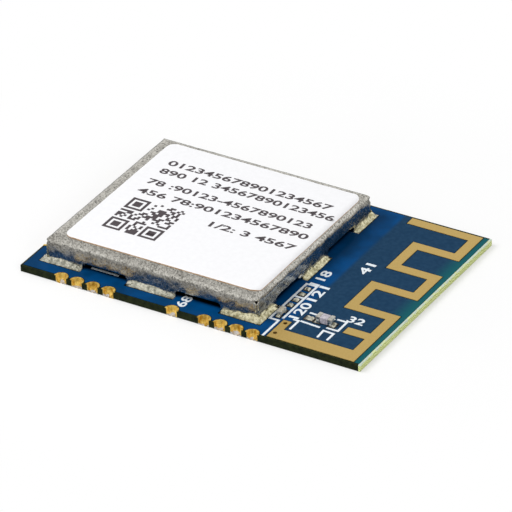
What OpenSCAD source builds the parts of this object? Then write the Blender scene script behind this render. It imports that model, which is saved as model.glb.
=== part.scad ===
// Shielded wireless module: a small board with half-round edge contacts, a soldered steel can
// over the circuit and a folded copper antenna at the open end.
// X runs from the closed end to the antenna, Y to the back, Z up from the plane it is soldered to.

/* [Board] */
// Length of the board
board_l = 21.72; // [19.6:0.01:24]
// Width of the board
board_w = 14.73; // [13.3:0.01:17]
// Thickness of the glass-fibre laminate
laminate_t = 0.40; // [0.3:0.05:1]
// Thickness of the solder mask on each side
mask_t = 0.025; // [0.015:0.005:0.03]
// Thickness of the plated copper
copper_t = 0.035; // [0.03:0.005:0.07]
// Bare laminate along the edges, outside the mask
mask_margin = 0.12; // [0.05:0.01:0.2]
// Gap between a land and the edge of its opening in the mask
mask_gap = 0.05; // [0.03:0.01:0.08]

/* [Edge contacts] */
// Spacing of the contacts along an edge
contact_pitch = 1.025; // [1:0.005:1.05]
// Radius of the half-round hole in a contact
contact_hole_r = 0.30; // [0.2:0.01:0.32]
// Thickness of the plating in the holes
plating_t = 0.04; // [0.02:0.01:0.06]
// Width of the ring round a hole on the upper side
contact_ring = 0.12; // [0.09:0.005:0.13]
// Width of a contact's foot on the underside
foot_w = 0.76; // [0.7:0.02:0.86]
// Length of a contact's foot on the underside
foot_l = 1.0; // [0.8:0.05:1.3]
// Distance from the closed end to the first contact of a long side
first_contact = 2.66; // [2.4:0.02:2.9]
// Number of contacts across the closed end
end_contact_count = 10; // [6:2:10]
// Side of the square ground paddle on the underside
paddle_side = 6; // [4:0.2:8]
// Cut corner of the ground paddle that marks the first contact
paddle_chamfer = 0.8; // [0.4:0.1:1.2]

/* [Shield can] */
// Length of board left beyond the can for the antenna
antenna_zone = 7.07; // [6.4:0.01:7.7]
// Gap between the board's long edges and the can, before its shift
can_margin = 1.115; // [1.05:0.005:1.3]
// Height of the can above its lands
can_h = 1.57; // [1.5:0.01:2]
// Thickness of the can's sheet
sheet_t = 0.15; // [0.1:0.01:0.2]
// Outer radius of the can's bends
bend_r = 0.55; // [0.4:0.01:0.7]
// Gap between the board's closed end and the can
can_inset = 0.95; // [0.8:0.01:1.1]
// Distance of the can behind the board's middle line
can_shift = 0.05; // [0:0.01:0.1]
// Length of the notches between the can's tabs
notch_l = 2.9; // [2.4:0.1:3.1]
// Height of the notches
notch_h = 0.42; // [0.3:0.01:0.5]
// Corner radius of the notches
notch_r = 0.2; // [0.1:0.01:0.28]
// Spacing of the two notches in a long wall
long_notch_pitch = 6.05; // [5.6:0.05:6.4]
// Spacing of the two notches in a short wall
short_notch_pitch = 5.65; // [5.2:0.05:5.8]
// Width of the slit left open at each corner
slit_w = 0.1; // [0.06:0.01:0.14]
// Height of the slits
slit_h = 1.12; // [1:0.01:1.2]
// Radius of the relief hole at the top of a slit
relief_r = 0.12; // [0.1:0.01:0.15]
// How far the can's lands reach outside its walls
land_out = 0.27; // [0.24:0.01:0.3]
// How far the can's lands reach inside its walls
land_in = 0.2; // [0.1:0.01:0.3]
// Reach of the solder fillets out from the walls
fillet_reach = 0.22; // [0.15:0.01:0.24]
// Height of the solder fillets on the walls
fillet_h = 0.34; // [0.25:0.01:0.4]

/* [Label] */
// Can left bare between the label and the closed end
label_end_gap = 0.955; // [0.8:0.005:1.2]
// Can left bare between the label and the antenna end, over the bend
label_bend_gap = 0.215; // [0.2:0.005:0.5]
// Can left bare between the label and the front edge
label_front_gap = 0.43; // [0.3:0.01:0.8]
// Can left bare between the label and the back edge
label_back_gap = 0.67; // [0.3:0.01:0.9]
// Thickness of the label
label_t = 0.06; // [0.04:0.01:0.1]
// Corner radius of the label
label_r = 0.5; // [0.2:0.05:0.8]
// Thickness of the print
print_t = 0.01; // [0.01:0.005:0.02]
// Height of the printed rows
row_h = 0.55; // [0.4:0.01:0.7]
// Spacing of the printed rows
row_pitch = 1.15; // [1:0.01:1.2]
// Side of the printed square code
code_side = 3.4; // [3:0.05:3.6]

/* [Antenna] */
// Width of the antenna's long bars
bar_w = 0.62; // [0.5:0.01:0.66]
// Width of the links between the bars
link_w = 0.6; // [0.5:0.01:0.64]
// Spacing of two bars that are linked at the outer side
outer_fold_pitch = 2.19; // [2.1:0.01:2.2]
// Distance from the board's front edge to the middle of the last folded bar
last_bar_front = 4.96; // [4.7:0.01:5.2]
// Distance over the folded bars, edge to edge
fold_span = 3.22; // [3.1:0.01:3.3]
// Length of the antenna's free bar beyond the folds
free_bar_extra = 1.29; // [1:0.01:1.4]
// Gap between the antenna and the board's open end
antenna_inset = 0.46; // [0.4:0.01:0.55]
// Gap between the free bar and the board's back edge
free_bar_inset = 0.16; // [0.15:0.01:0.25]
// Width of the ground bar along the board's front edge
ground_bar_w = 0.97; // [0.9:0.01:1]
// Gap between the ground bar and the board's front edge
ground_bar_inset = 0.14; // [0.13:0.01:0.18]
// Length of the ground bar
ground_bar_l = 5.45; // [5.3:0.01:5.55]
// Width of the ground leg
ground_leg_w = 0.5; // [0.4:0.01:0.6]
// Length of the ground leg
ground_leg_l = 1.84; // [1.7:0.01:1.9]
// Length of the feed stub
feed_l = 1.98; // [1.8:0.01:2]
// Distance from the board's front edge to the middle of the feed stub
feed_front = 2.685; // [2.6:0.005:2.8]
// Radius of the vias in the ground leg
via_r = 0.12; // [0.1:0.01:0.15]

/* [Silkscreen] */
// Width of the printed lines
silk_w = 0.13; // [0.1:0.01:0.16]
// Thickness of the printed lines
silk_t = 0.02; // [0.01:0.005:0.03]

/* [Small parts beside the can] */
// Gap between the can's lands and the printed box of the matching parts
match_box_clear = 0.055; // [0.05:0.005:0.1]
// Distance from the board's front edge to the first matching place
match_front = 5; // [4.9:0.005:5.1]
// Length of the matching capacitor
match_l = 0.6; // [0.5:0.01:0.62]
// Width of the matching capacitor
match_w = 0.3; // [0.26:0.01:0.34]
// Height of the matching capacitor
match_h = 0.3; // [0.25:0.01:0.33]
// Distance from the board's open end to the middle of the link resistor
link_end = 3.73; // [3.65:0.01:3.8]
// Distance from the board's front edge to the middle of the link resistor
link_front = 2.77; // [2.7:0.01:2.85]
// Length of the link resistor
link_l = 1.0; // [0.95:0.01:1.05]
// Width of the link resistor
link_part_w = 0.5; // [0.45:0.01:0.55]
// Height of the link resistor
link_h = 0.45; // [0.35:0.01:0.5]

/* [Parts in the can] */
// Side of the radio chip
chip_side = 6; // [5:0.1:6.2]
// Height of the radio chip
chip_h = 0.85; // [0.7:0.01:0.95]
// Gap between the chip's heat pad and its terminals
chip_pad_gap = 0.5; // [0.3:0.05:0.8]
// Gap left between neighbouring parts in the can
part_gap = 0.5; // [0.4:0.05:0.6]
// Length of the crystal
crystal_l = 2.5; // [2.2:0.1:2.6]
// Width of the crystal
crystal_w = 2.0; // [1.6:0.1:2.2]
// Height of the crystal with its lid
crystal_h = 0.55; // [0.5:0.01:0.7]
// Length of the power inductor
inductor_l = 2.0; // [1.8:0.1:2.2]
// Width of the power inductor
inductor_w = 1.6; // [1.2:0.1:1.8]
// Height of the power inductor
inductor_h = 0.95; // [0.8:0.01:1.1]
// Length of the radio filter
filter_l = 1.6; // [1.4:0.1:1.8]
// Width of the radio filter
filter_w = 0.8; // [0.6:0.1:1]
// Height of the radio filter
filter_h = 0.6; // [0.5:0.01:0.7]
// Length of a decoupling capacitor or small resistor
small_l = 1.0; // [0.9:0.05:1.05]
// Width of a decoupling capacitor or small resistor
small_w = 0.5; // [0.4:0.05:0.55]
// Height of a decoupling capacitor
capacitor_h = 0.5; // [0.4:0.01:0.55]
// Height of a small resistor
resistor_h = 0.35; // [0.3:0.01:0.4]
// Number of decoupling capacitors on each side of the chip
capacitor_count = 5; // [3:1:5]
// Number of small resistors beside the chip
resistor_count = 4; // [2:1:4]

/* [Hidden] */

$fn = 48;
// Overrun of a cut past the face it opens
cut = 0.02;

// Levels of the board's layers above the plane it is soldered to
laminate_z = copper_t;
laminate_top = laminate_z + laminate_t;
mask_top = laminate_top + mask_t;
land_top = laminate_top + copper_t;

// Contacts
front_places = [for (i = [0 : 12]) if (i < 4 || i == 7 || i > 8) i];
back_places = [for (i = [0 : 10]) if (i != 4 && i != 6) i];
barrel_r = contact_hole_r + plating_t;
ring_r = contact_hole_r + contact_ring;

// Can, and the lengths of its corner and middle tabs
can_l = board_l - can_inset - antenna_zone;
can_w = board_w - 2 * can_margin;
can_x = -board_l / 2 + can_inset + can_l / 2;
can_y = can_shift;
can_x2 = can_x + can_l / 2;
can_top = land_top + can_h;
long_corner_tab = (can_l - long_notch_pitch - notch_l) / 2;
short_corner_tab = (can_w - short_notch_pitch - notch_l) / 2;
long_middle_tab = long_notch_pitch - notch_l;
short_middle_tab = short_notch_pitch - notch_l;
fillet_steps = 6;

// Label and print
label_l = can_l - label_end_gap - label_bend_gap;
label_w = can_w - label_front_gap - label_back_gap;
label_shift_x = (label_end_gap - label_bend_gap) / 2;
label_shift_y = (label_front_gap - label_back_gap) / 2;
label_x = can_x + label_shift_x;
label_y = can_y + label_shift_y;
print_z = can_top + label_t;
print_margin_x = 1.05;
print_margin_y = 1.98;
print_run = label_l - print_margin_x;
word_gap = 0.04 * print_run;
row_shares = [[28, 36, 21], [15, 10, 65], [10, 30, 45], [19, 11, 57], [17, 8, 17]];
last_row_indent = 0.48 * print_run;
last_row = len(row_shares) - 1;
function word_l(row, j) = row_shares[row][j] / 100 * print_run;
function word_start(row, j) = j == 0 ? 0 : word_start(row, j - 1) + word_l(row, j - 1) + word_gap;
finder_line = 0.14;
code_indent = 0.2;
code_lift = 0.4;
finder_side = 0.26 * code_side;

// Antenna
fold_x2 = board_l / 2 - antenna_inset;
fold_x1 = fold_x2 - fold_span;
first_bar_y = board_w / 2 - free_bar_inset - bar_w / 2;
last_bar_y = -board_w / 2 + last_bar_front;
last_bar = 4;
inner_fold_pitch = (first_bar_y - last_bar_y) / 2 - outer_fold_pitch;
feed_y = -board_w / 2 + feed_front;
function bar_y(i) = first_bar_y - ceil(i / 2) * outer_fold_pitch - floor(i / 2) * inner_fold_pitch;
ground_y = -board_w / 2 + ground_bar_inset;
ground_x = fold_x2 - ground_bar_l;
leg_x = ground_x + ground_leg_w / 2;
via_places = [[leg_x, ground_y + ground_leg_l - 2.2 * via_r], [leg_x, ground_y + ground_bar_w / 2]];
via_wall_r = via_r + plating_t;

// Lands, terminals and joints of the small parts
joint_t = 0.02;
part_z = land_top + joint_t;
land_extra = 0.16;
small_terminal = 0.25;
body_inset = 0.015;

// Gap between a printed line and the edge of a land's opening
silk_land_gap = 0.025;

// Row of matching parts beside the can, with its printed box
match_pitch = 1.26;
match_land = [0.38, 0.34];
match_land_gap = 0.60;
match_box_end = 0.76;
match_box_half = match_land[0] / 2 + mask_gap + silk_w / 2 + silk_land_gap;
match_x = can_x2 + land_out + match_box_clear + silk_w / 2 + match_box_half;
match_terminal = 0.15;
function match_y(i) = -board_w / 2 + match_front - i * match_pitch;

// Gaps of the printed box, from the antenna's ground bar and at its open corner
silk_tail_gap = 0.21;
match_box_gap = 0.36;
silk_leg_gap = 0.28;

// Printed lines round the link resistor, round the ground leg, and one beside the can
link_marks = [
  [[0.44, 0.6], [0.99, 0.6], [0.99, -0.4], [0.34, -0.4]],
  [[-1.24, -0.47], [-0.12, -0.54]],
  [[-1.22, 0.5], [-0.8, 0.48]],
  [[0.32, -1.4], [0.28, -0.72], [0.93, -0.76], [0.93, -1.4]]
];
leg_mark = [[0, 0], [silk_leg_gap, 0], [silk_leg_gap, -0.9]];
can_mark = [[-4.05, 0.4], [-2.4, 0.4]];

// Link resistor and the spare land beside it
link_x = board_l / 2 - link_end;
link_y = -board_w / 2 + link_front;
spare_land = [0.58, 0.4];
spare_gap = 0.06;
spare_x = link_x - link_l / 2 - land_extra - spare_gap - spare_land[0] / 2;

// Parts in the can
chip_shift = [0.1, 0.25];
chip_x = can_x + chip_shift[0];
chip_y = can_y + chip_shift[1];
chip_pitch = 0.5;
chip_lead = [0.4, 0.25];
chip_lead_h = 0.2;
chip_side_terminals = floor((chip_side - 2 * chip_lead[0] - chip_lead[1]) / chip_pitch) + 1;
chip_pad_side = chip_side - 2 * (chip_lead[0] + chip_pad_gap);
chip_dot_r = 0.25;
chip_dot_depth = 0.03;
beside_chip = chip_side / 2 + part_gap;
small_pitch = small_w + part_gap;
crystal_pad = [0.75, 0.65];
crystal_pad_t = 0.03;
crystal_base_h = 0.35;
crystal_lid_inset = 0.15;
inductor_terminal = 0.35;
filter_terminal = 0.3;
filter_band = 0.35;

module at_can() {
  translate([can_x, can_y, land_top]) children();
}

module on_laminate(h) {
  translate([0, 0, laminate_top]) linear_extrude(h) children();
}

// Places along a long side (side -1 front, 1 back) and the closed end; +Y points into the board
module along_side(side) {
  for (i = side > 0 ? back_places : front_places)
    translate([-board_l / 2 + first_contact + i * contact_pitch, side * board_w / 2])
      rotate(side > 0 ? 180 : 0) children();
}

module along_end() {
  for (i = [0 : end_contact_count - 1])
    translate([-board_l / 2, (i - (end_contact_count - 1) / 2) * contact_pitch])
      rotate(-90) children();
}

module at_all_contacts() {
  along_side(-1) children();
  along_side(1) children();
  along_end() children();
}

module foot_outline(grow) {
  translate([-foot_w / 2 - grow, 0]) square([foot_w + 2 * grow, foot_l - foot_w / 2]);
  translate([0, foot_l - foot_w / 2]) circle(foot_w / 2 + grow);
}

// One contact: plated half hole, ring on the upper side and foot on the underside
module edge_contact() {
  intersection() {
    difference() {
      union() {
        cylinder(r = barrel_r, h = land_top);
        translate([0, 0, laminate_top]) cylinder(r = ring_r, h = copper_t);
        linear_extrude(copper_t) foot_outline(0);
      }
      translate([0, 0, -cut]) cylinder(r = contact_hole_r, h = land_top + 2 * cut);
    }
    translate([-foot_w, 0, 0]) cube([2 * foot_w, foot_l, land_top]);
  }
}

// Folded antenna with its feed stub, ground bar and leg, widened by grow on every side
module antenna_outline(grow) {
  module bar(x1, x2, y1, y2) {
    translate([x1 - grow, y1 - grow]) square([x2 - x1 + 2 * grow, y2 - y1 + 2 * grow]);
  }
  for (i = [0 : last_bar])
    bar(i == 0 ? fold_x1 - free_bar_extra : fold_x1, fold_x2, bar_y(i) - bar_w / 2, bar_y(i) + bar_w / 2);
  for (i = [0 : last_bar - 1]) {
    outer = i % 2 == 0;
    bar(outer ? fold_x2 - link_w : fold_x1, outer ? fold_x2 : fold_x1 + link_w, bar_y(i + 1), bar_y(i));
  }
  bar(fold_x2 - link_w, fold_x2, ground_y, bar_y(last_bar));
  bar(fold_x2 - feed_l, fold_x2, feed_y - bar_w / 2, feed_y + bar_w / 2);
  bar(ground_x, fold_x2, ground_y, ground_y + ground_bar_w);
  bar(ground_x, ground_x + ground_leg_w, ground_y, ground_y + ground_leg_l);
}

module at_vias() {
  for (p = via_places) translate([p[0], p[1], 0]) children();
}

// Upright plate with its two upper corners rounded
module arch(span, h, r) {
  translate([-span / 2, 0]) square([span, h - r]);
  translate([-span / 2 + r, 0]) square([span - 2 * r, h]);
  for (s = [-1, 1]) translate([s * (span / 2 - r), h - r]) circle(r);
}

// Box with all its upper edges rounded, as bent sheet has them
module rounded_lid(l, w, h, r) {
  intersection() {
    rotate([90, 0, 0]) translate([0, 0, -w / 2]) linear_extrude(w) arch(l, h, r);
    rotate([90, 0, 90]) translate([0, 0, -l / 2]) linear_extrude(l) arch(w, h, r);
  }
}

module notch_outline() {
  translate([0, notch_h]) mirror([0, 1]) {
    translate([-notch_l / 2, notch_r]) square([notch_l, notch_h - notch_r + cut]);
    translate([-notch_l / 2 + notch_r, 0]) square([notch_l - 2 * notch_r, notch_h]);
    for (s = [-1, 1]) translate([s * (notch_l / 2 - notch_r), notch_r]) circle(notch_r);
  }
}

// Notches through both long walls and both short walls
module notches() {
  for (s = [-1, 1]) {
    translate([s * long_notch_pitch / 2, can_w / 2 + cut, 0])
      rotate([90, 0, 0]) linear_extrude(can_w + 2 * cut) notch_outline();
    translate([-can_l / 2 - cut, s * short_notch_pitch / 2, 0])
      rotate([90, 0, 90]) linear_extrude(can_l + 2 * cut) notch_outline();
  }
}

// Slits at the four upright corners, each with a round relief hole at its top
module corner_slits() {
  for (sx = [-1, 1], sy = [-1, 1])
    translate([sx * can_l / 2, sy * can_w / 2, 0]) rotate(sx * sy * 45) {
      translate([-2 * sheet_t, -slit_w / 2, -cut]) cube([4 * sheet_t, slit_w, slit_h + cut]);
      translate([0, 0, slit_h]) rotate([0, 90, 0]) cylinder(r = relief_r, h = 5 * sheet_t, center = true);
    }
}

// Lands under the can's walls, left out at the notches
module tab_frame(outside, inside) {
  difference() {
    square([can_l + 2 * outside, can_w + 2 * outside], center = true);
    square([can_l - 2 * inside, can_w - 2 * inside], center = true);
    for (s = [-1, 1]) {
      translate([s * long_notch_pitch / 2, 0]) square([notch_l, can_w + 4 * outside], center = true);
      translate([0, s * short_notch_pitch / 2]) square([can_l + 4 * outside, notch_l], center = true);
    }
  }
}

// Hollow solder profile that climbs a wall: reach out along the board, h up the wall
function fillet_points(reach, h) = concat([[0, 0]],
  [for (i = [0 : fillet_steps]) let(a = 90 * i / fillet_steps) [reach * (1 - sin(a)), h * (1 - cos(a))]]);

module fillet_bar(l, reach, h) {
  rotate([90, 0, 90]) linear_extrude(l) polygon(fillet_points(reach, h));
}

module fillet_turn() {
  rotate_extrude(angle = 90) polygon(fillet_points(fillet_reach, fillet_h));
}

// Solder along one arm of a corner tab, from the corner at the origin towards -X, outside at +Y
module corner_arm(tab) {
  l = tab - fillet_reach;
  translate([-l, 0, 0]) {
    fillet_bar(l, fillet_reach, fillet_h);
    rotate(90) fillet_turn();
  }
}

module middle_tab_solder(tab) {
  l = tab - 2 * fillet_reach;
  translate([-l / 2, 0, 0]) {
    fillet_bar(l, fillet_reach, fillet_h);
    rotate(90) fillet_turn();
  }
  translate([l / 2, 0, 0]) fillet_turn();
}

module label_outline() {
  square([label_l - 2 * label_r, label_w], center = true);
  square([label_l, label_w - 2 * label_r], center = true);
  for (sx = [-1, 1], sy = [-1, 1])
    translate([sx * (label_l / 2 - label_r), sy * (label_w / 2 - label_r)]) circle(label_r);
}

// A small part along X with a terminal at each end, and the shapes that belong to it
module part_body(l, w, h, terminal) {
  translate([0, 0, part_z + h / 2])
    cube([l - 2 * terminal, w - 2 * body_inset, h - 2 * body_inset], center = true);
}

module part_ends(l, w, h, terminal) {
  for (s = [-1, 1])
    translate([s * (l - terminal) / 2, 0, part_z + h / 2]) cube([terminal, w, h], center = true);
}

module part_lands(l, w, terminal, grow) {
  for (s = [-1, 1])
    translate([s * (l - terminal + land_extra) / 2, 0])
      square([terminal + land_extra + 2 * grow, w + 2 * grow], center = true);
}

module part_solder(l, w, h, terminal) {
  for (s = [0, 1]) mirror([s, 0, 0]) {
    translate([l / 2 - terminal, -w / 2, land_top]) cube([terminal, w, joint_t]);
    translate([l / 2, w / 2, land_top]) rotate(-90) fillet_bar(w, land_extra, 0.6 * h);
  }
}

// Places of the small parts
module at_match() {
  translate([match_x, match_y(2), 0]) rotate(90) children();
}

module at_link() {
  translate([link_x, link_y, 0]) children();
}

module at_capacitors() {
  for (side = [-1, 1], i = [0 : capacitor_count - 1])
    translate([chip_x + (i - (capacitor_count - 1) / 2) * small_pitch,
      chip_y + side * (beside_chip + small_l / 2), 0]) rotate(90) children();
}

module at_resistors() {
  for (i = [0 : resistor_count - 1])
    translate([chip_x + beside_chip + small_l / 2, chip_y + (i + 0.5) * small_pitch, 0]) children();
}

module at_filter() {
  translate([chip_x + beside_chip + filter_l / 2, chip_y - (part_gap + filter_w) / 2, 0]) children();
}

module at_inductor() {
  translate([chip_x - beside_chip - inductor_w / 2, chip_y - (part_gap + inductor_l) / 2, 0])
    rotate(90) children();
}

module at_crystal() {
  translate([chip_x - beside_chip - crystal_w / 2, chip_y + (part_gap + crystal_l) / 2, 0])
    rotate(90) children();
}

// Bare lands of the row of matching parts that carry no part
module at_bare_lands() {
  for (i = [0, 1], s = [-1, 1])
    translate([match_x, match_y(i) + s * match_land_gap / 2, 0]) children();
}

module chip_outline(grow) {
  square(chip_pad_side + 2 * grow, center = true);
  for (turn = [0 : 90 : 270], i = [0 : chip_side_terminals - 1])
    rotate(turn)
      translate([(chip_side - chip_lead[0]) / 2, (i - (chip_side_terminals - 1) / 2) * chip_pitch])
        square([chip_lead[0] + 2 * grow, chip_lead[1] + 2 * grow], center = true);
}

module crystal_pads(grow) {
  for (sx = [-1, 1], sy = [-1, 1])
    translate([sx * (crystal_l - crystal_pad[0]) / 2, sy * (crystal_w - crystal_pad[1]) / 2])
      square([crystal_pad[0] + 2 * grow, crystal_pad[1] + 2 * grow], center = true);
}

// All the lands inside the can, each widened by grow
module inner_land_outlines(grow) {
  at_capacitors() part_lands(small_l, small_w, small_terminal, grow);
  at_resistors() part_lands(small_l, small_w, small_terminal, grow);
  at_filter() part_lands(filter_l, filter_w, filter_terminal, grow);
  at_inductor() part_lands(inductor_l, inductor_w, inductor_terminal, grow);
  at_crystal() crystal_pads(grow);
}

module outer_land_outlines(grow) {
  at_bare_lands() square([match_land[0] + 2 * grow, match_land[1] + 2 * grow], center = true);
  at_match() part_lands(match_l, match_w, match_terminal, grow);
  at_link() part_lands(link_l, link_part_w, small_terminal, grow);
  translate([spare_x, link_y]) square([spare_land[0] + 2 * grow, spare_land[1] + 2 * grow], center = true);
}

// Printed line between two points
module silk_line(a, b) {
  d = b - a;
  translate([a[0], a[1], mask_top]) rotate(atan2(d[1], d[0]))
    translate([-silk_w / 2, -silk_w / 2, 0]) cube([norm(d) + silk_w, silk_w, silk_t]);
}

module silk_path(points) {
  for (i = [0 : len(points) - 2]) silk_line(points[i], points[i + 1]);
}

module board() {
  color("olivedrab") difference() {
    translate([-board_l / 2, -board_w / 2, laminate_z]) cube([board_l, board_w, laminate_t]);
    at_all_contacts() cylinder(r = barrel_r, h = board_w);
    at_vias() cylinder(r = via_wall_r, h = board_w);
  }
}

module top_mask() {
  color("#0a4072") on_laminate(mask_t) difference() {
    square([board_l - 2 * mask_margin, board_w - 2 * mask_margin], center = true);
    at_all_contacts() circle(ring_r + mask_gap);
    translate([can_x, can_y]) tab_frame(land_out + mask_gap, land_in + mask_gap);
    antenna_outline(mask_gap);
    outer_land_outlines(mask_gap);
    translate([chip_x, chip_y]) square(chip_side + 2 * mask_gap + land_extra, center = true);
    inner_land_outlines(mask_gap);
  }
}

module bottom_mask() {
  color("#0a4072") translate([0, 0, laminate_z - mask_t]) linear_extrude(mask_t) difference() {
    square([board_l - 2 * mask_margin, board_w - 2 * mask_margin], center = true);
    at_all_contacts() foot_outline(mask_gap);
    translate([chip_x, chip_y]) square(paddle_side + 2 * mask_gap, center = true);
  }
}

module antenna_trace() {
  color("#cbaa5c") difference() {
    union() {
      on_laminate(copper_t) antenna_outline(0);
      at_vias() translate([0, 0, laminate_z]) cylinder(r = via_wall_r, h = laminate_t);
    }
    at_vias() cylinder(r = via_r, h = land_top + cut);
  }
}

module front_contacts() {
  color("gold") along_side(-1) edge_contact();
}

module back_contacts() {
  color("gold") along_side(1) edge_contact();
}

module end_contacts() {
  color("gold") along_end() edge_contact();
}

module ground_paddle() {
  h = paddle_side / 2;
  c = paddle_chamfer;
  color("gold") translate([chip_x, chip_y, 0]) linear_extrude(copper_t)
    polygon([[-h + c, -h], [h, -h], [h, h], [-h, h], [-h, -h + c]]);
}

module shield_lands() {
  color("#c9b25a") translate([can_x, can_y]) on_laminate(copper_t) tab_frame(land_out, land_in);
}

module tinned_lands() {
  color("silver") on_laminate(copper_t) outer_land_outlines(0);
}

module silkscreen() {
  box_top = match_y(0) + match_box_end;
  box_divider = (match_y(0) + match_y(1)) / 2;
  box_end = match_y(2) - match_box_end + silk_w / 2;
  left = match_x - match_box_half;
  right = match_x + match_box_half;
  tail_x = ground_x - silk_tail_gap;
  color("white") {
    silk_path([[right, box_end + match_box_gap], [right, box_top], [left, box_top], [left, box_end],
      [tail_x, box_end], [tail_x, ground_y]]);
    silk_line([left, box_divider], [right, box_divider]);
    translate([link_x, link_y, 0]) {
      for (path = link_marks)
        silk_path(path);
    }
    translate([ground_x + ground_leg_w, ground_y + ground_leg_l + silk_leg_gap, 0]) silk_path(leg_mark);
    translate([can_x, can_y - can_w / 2, 0]) silk_path(can_mark);
  }
}

module shield_can() {
  color("#a9aba4") at_can() difference() {
    rounded_lid(can_l, can_w, can_h, bend_r);
    translate([0, 0, -cut])
      rounded_lid(can_l - 2 * sheet_t, can_w - 2 * sheet_t, can_h - sheet_t + cut, bend_r - sheet_t);
    notches();
    corner_slits();
  }
}

module shield_solder() {
  color("#b8b59a") at_can() {
    for (sx = [0, 1], sy = [0, 1])
      mirror([sx, 0, 0]) mirror([0, sy, 0]) translate([can_l / 2, can_w / 2, 0]) {
        fillet_turn();
        corner_arm(long_corner_tab);
        mirror([1, -1, 0]) corner_arm(short_corner_tab);
      }
    for (s = [0, 1]) {
      mirror([0, s, 0]) translate([0, can_w / 2, 0]) middle_tab_solder(long_middle_tab);
      mirror([s, 0, 0]) translate([can_l / 2, 0, 0]) rotate(-90) middle_tab_solder(short_middle_tab);
    }
  }
}

module label() {
  color("#f5f5f6") intersection() {
    at_can() difference() {
      rounded_lid(can_l + 2 * label_t, can_w + 2 * label_t, can_h + label_t, bend_r + label_t);
      translate([0, 0, -cut]) rounded_lid(can_l, can_w, can_h + cut, bend_r);
    }
    translate([label_x, label_y, can_top - bend_r]) linear_extrude(2 * bend_r) label_outline();
  }
}

module finder() {
  difference() {
    square(finder_side, center = true);
    square(finder_side - 2 * finder_line, center = true);
  }
  square(finder_side - 4 * finder_line, center = true);
}

// Plain fields of print: rows of word-long bars and the three corner squares of a square code
module label_print() {
  x0 = -label_l / 2 + print_margin_x;
  y0 = label_w / 2 - print_margin_y;
  corner = (code_side - finder_side) / 2;
  code_x = x0 + code_side / 2 + code_indent;
  code_y = y0 - last_row * row_pitch - code_side / 2 + code_lift;
  color("#3a3236") translate([label_x, label_y, print_z]) linear_extrude(print_t) {
    for (r = [0 : last_row], j = [0 : len(row_shares[r]) - 1])
      translate([x0 + (r == last_row ? last_row_indent : 0) + word_start(r, j),
        y0 - r * row_pitch - row_h / 2]) square([word_l(r, j), row_h]);
    translate([code_x, code_y]) for (p = [[-1, -1], [-1, 1], [1, 1]])
      translate([p[0] * corner, p[1] * corner]) finder();
  }
}

module matching_capacitor() {
  color("#a89f8a") at_match() part_body(match_l, match_w, match_h, match_terminal);
}

module matching_terminals() {
  color("silver") at_match() part_ends(match_l, match_w, match_h, match_terminal);
}

module link_resistor() {
  color("#b9b4bc") at_link() part_body(link_l, link_part_w, link_h, small_terminal);
}

module link_terminals() {
  color("silver") at_link() part_ends(link_l, link_part_w, link_h, small_terminal);
}

module outer_solder() {
  tin_h = 0.05;
  color("#d8d6c0") {
    at_match() part_solder(match_l, match_w, match_h, match_terminal);
    at_link() part_solder(link_l, link_part_w, link_h, small_terminal);
    at_bare_lands() translate([0, 0, land_top]) rounded_lid(match_land[0], match_land[1], tin_h, tin_h / 2);
    translate([spare_x, link_y, land_top]) rounded_lid(spare_land[0], spare_land[1], tin_h, tin_h / 2);
  }
}

module chip_leads() {
  translate([0, 0, part_z]) linear_extrude(chip_lead_h) chip_outline(0);
}

module radio_chip() {
  dot = chip_side / 2 - 3 * chip_dot_r;
  color("#2b2b2d") translate([chip_x, chip_y, 0]) difference() {
    translate([-chip_side / 2, -chip_side / 2, part_z]) cube([chip_side, chip_side, chip_h]);
    chip_leads();
    translate([-dot, dot, part_z + chip_h - chip_dot_depth]) cylinder(r = chip_dot_r, h = chip_h);
  }
}

module chip_terminals() {
  color("silver") translate([chip_x, chip_y, 0]) chip_leads();
}

module crystal_base() {
  color("#5b4a3a") at_crystal()
    translate([-crystal_l / 2, -crystal_w / 2, part_z + crystal_pad_t])
      cube([crystal_l, crystal_w, crystal_base_h]);
}

module crystal_lid() {
  z = part_z + crystal_pad_t + crystal_base_h;
  h = crystal_h - crystal_pad_t - crystal_base_h;
  color("lightgrey") at_crystal() translate([0, 0, z])
    rounded_lid(crystal_l - 2 * crystal_lid_inset, crystal_w - 2 * crystal_lid_inset, h, h / 3);
}

module crystal_terminals() {
  color("gold") at_crystal() translate([0, 0, part_z]) linear_extrude(crystal_pad_t) crystal_pads(0);
}

module power_inductor() {
  color("#4a4a4e") at_inductor() part_body(inductor_l, inductor_w, inductor_h, inductor_terminal);
}

module inductor_terminals() {
  color("silver") at_inductor() part_ends(inductor_l, inductor_w, inductor_h, inductor_terminal);
}

module decoupling_capacitors() {
  color("#a8855c") at_capacitors() part_body(small_l, small_w, capacitor_h, small_terminal);
}

module capacitor_terminals() {
  color("silver") at_capacitors() part_ends(small_l, small_w, capacitor_h, small_terminal);
}

module small_resistors() {
  color("#1f1f22") at_resistors() part_body(small_l, small_w, resistor_h, small_terminal);
}

module resistor_terminals() {
  color("silver") at_resistors() part_ends(small_l, small_w, resistor_h, small_terminal);
}

module rf_filter() {
  color("#d9d4c6") at_filter() part_body(filter_l, filter_w, filter_h, filter_terminal);
}

module filter_terminals() {
  color("silver") at_filter() {
    part_ends(filter_l, filter_w, filter_h, filter_terminal);
    difference() {
      translate([0, 0, part_z + filter_h / 2]) cube([filter_band, filter_w, filter_h], center = true);
      part_body(filter_l, filter_w, filter_h, filter_terminal);
    }
  }
}

module inner_lands() {
  color("gold") on_laminate(copper_t) {
    translate([chip_x, chip_y]) chip_outline(0);
    inner_land_outlines(0);
  }
}

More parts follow.
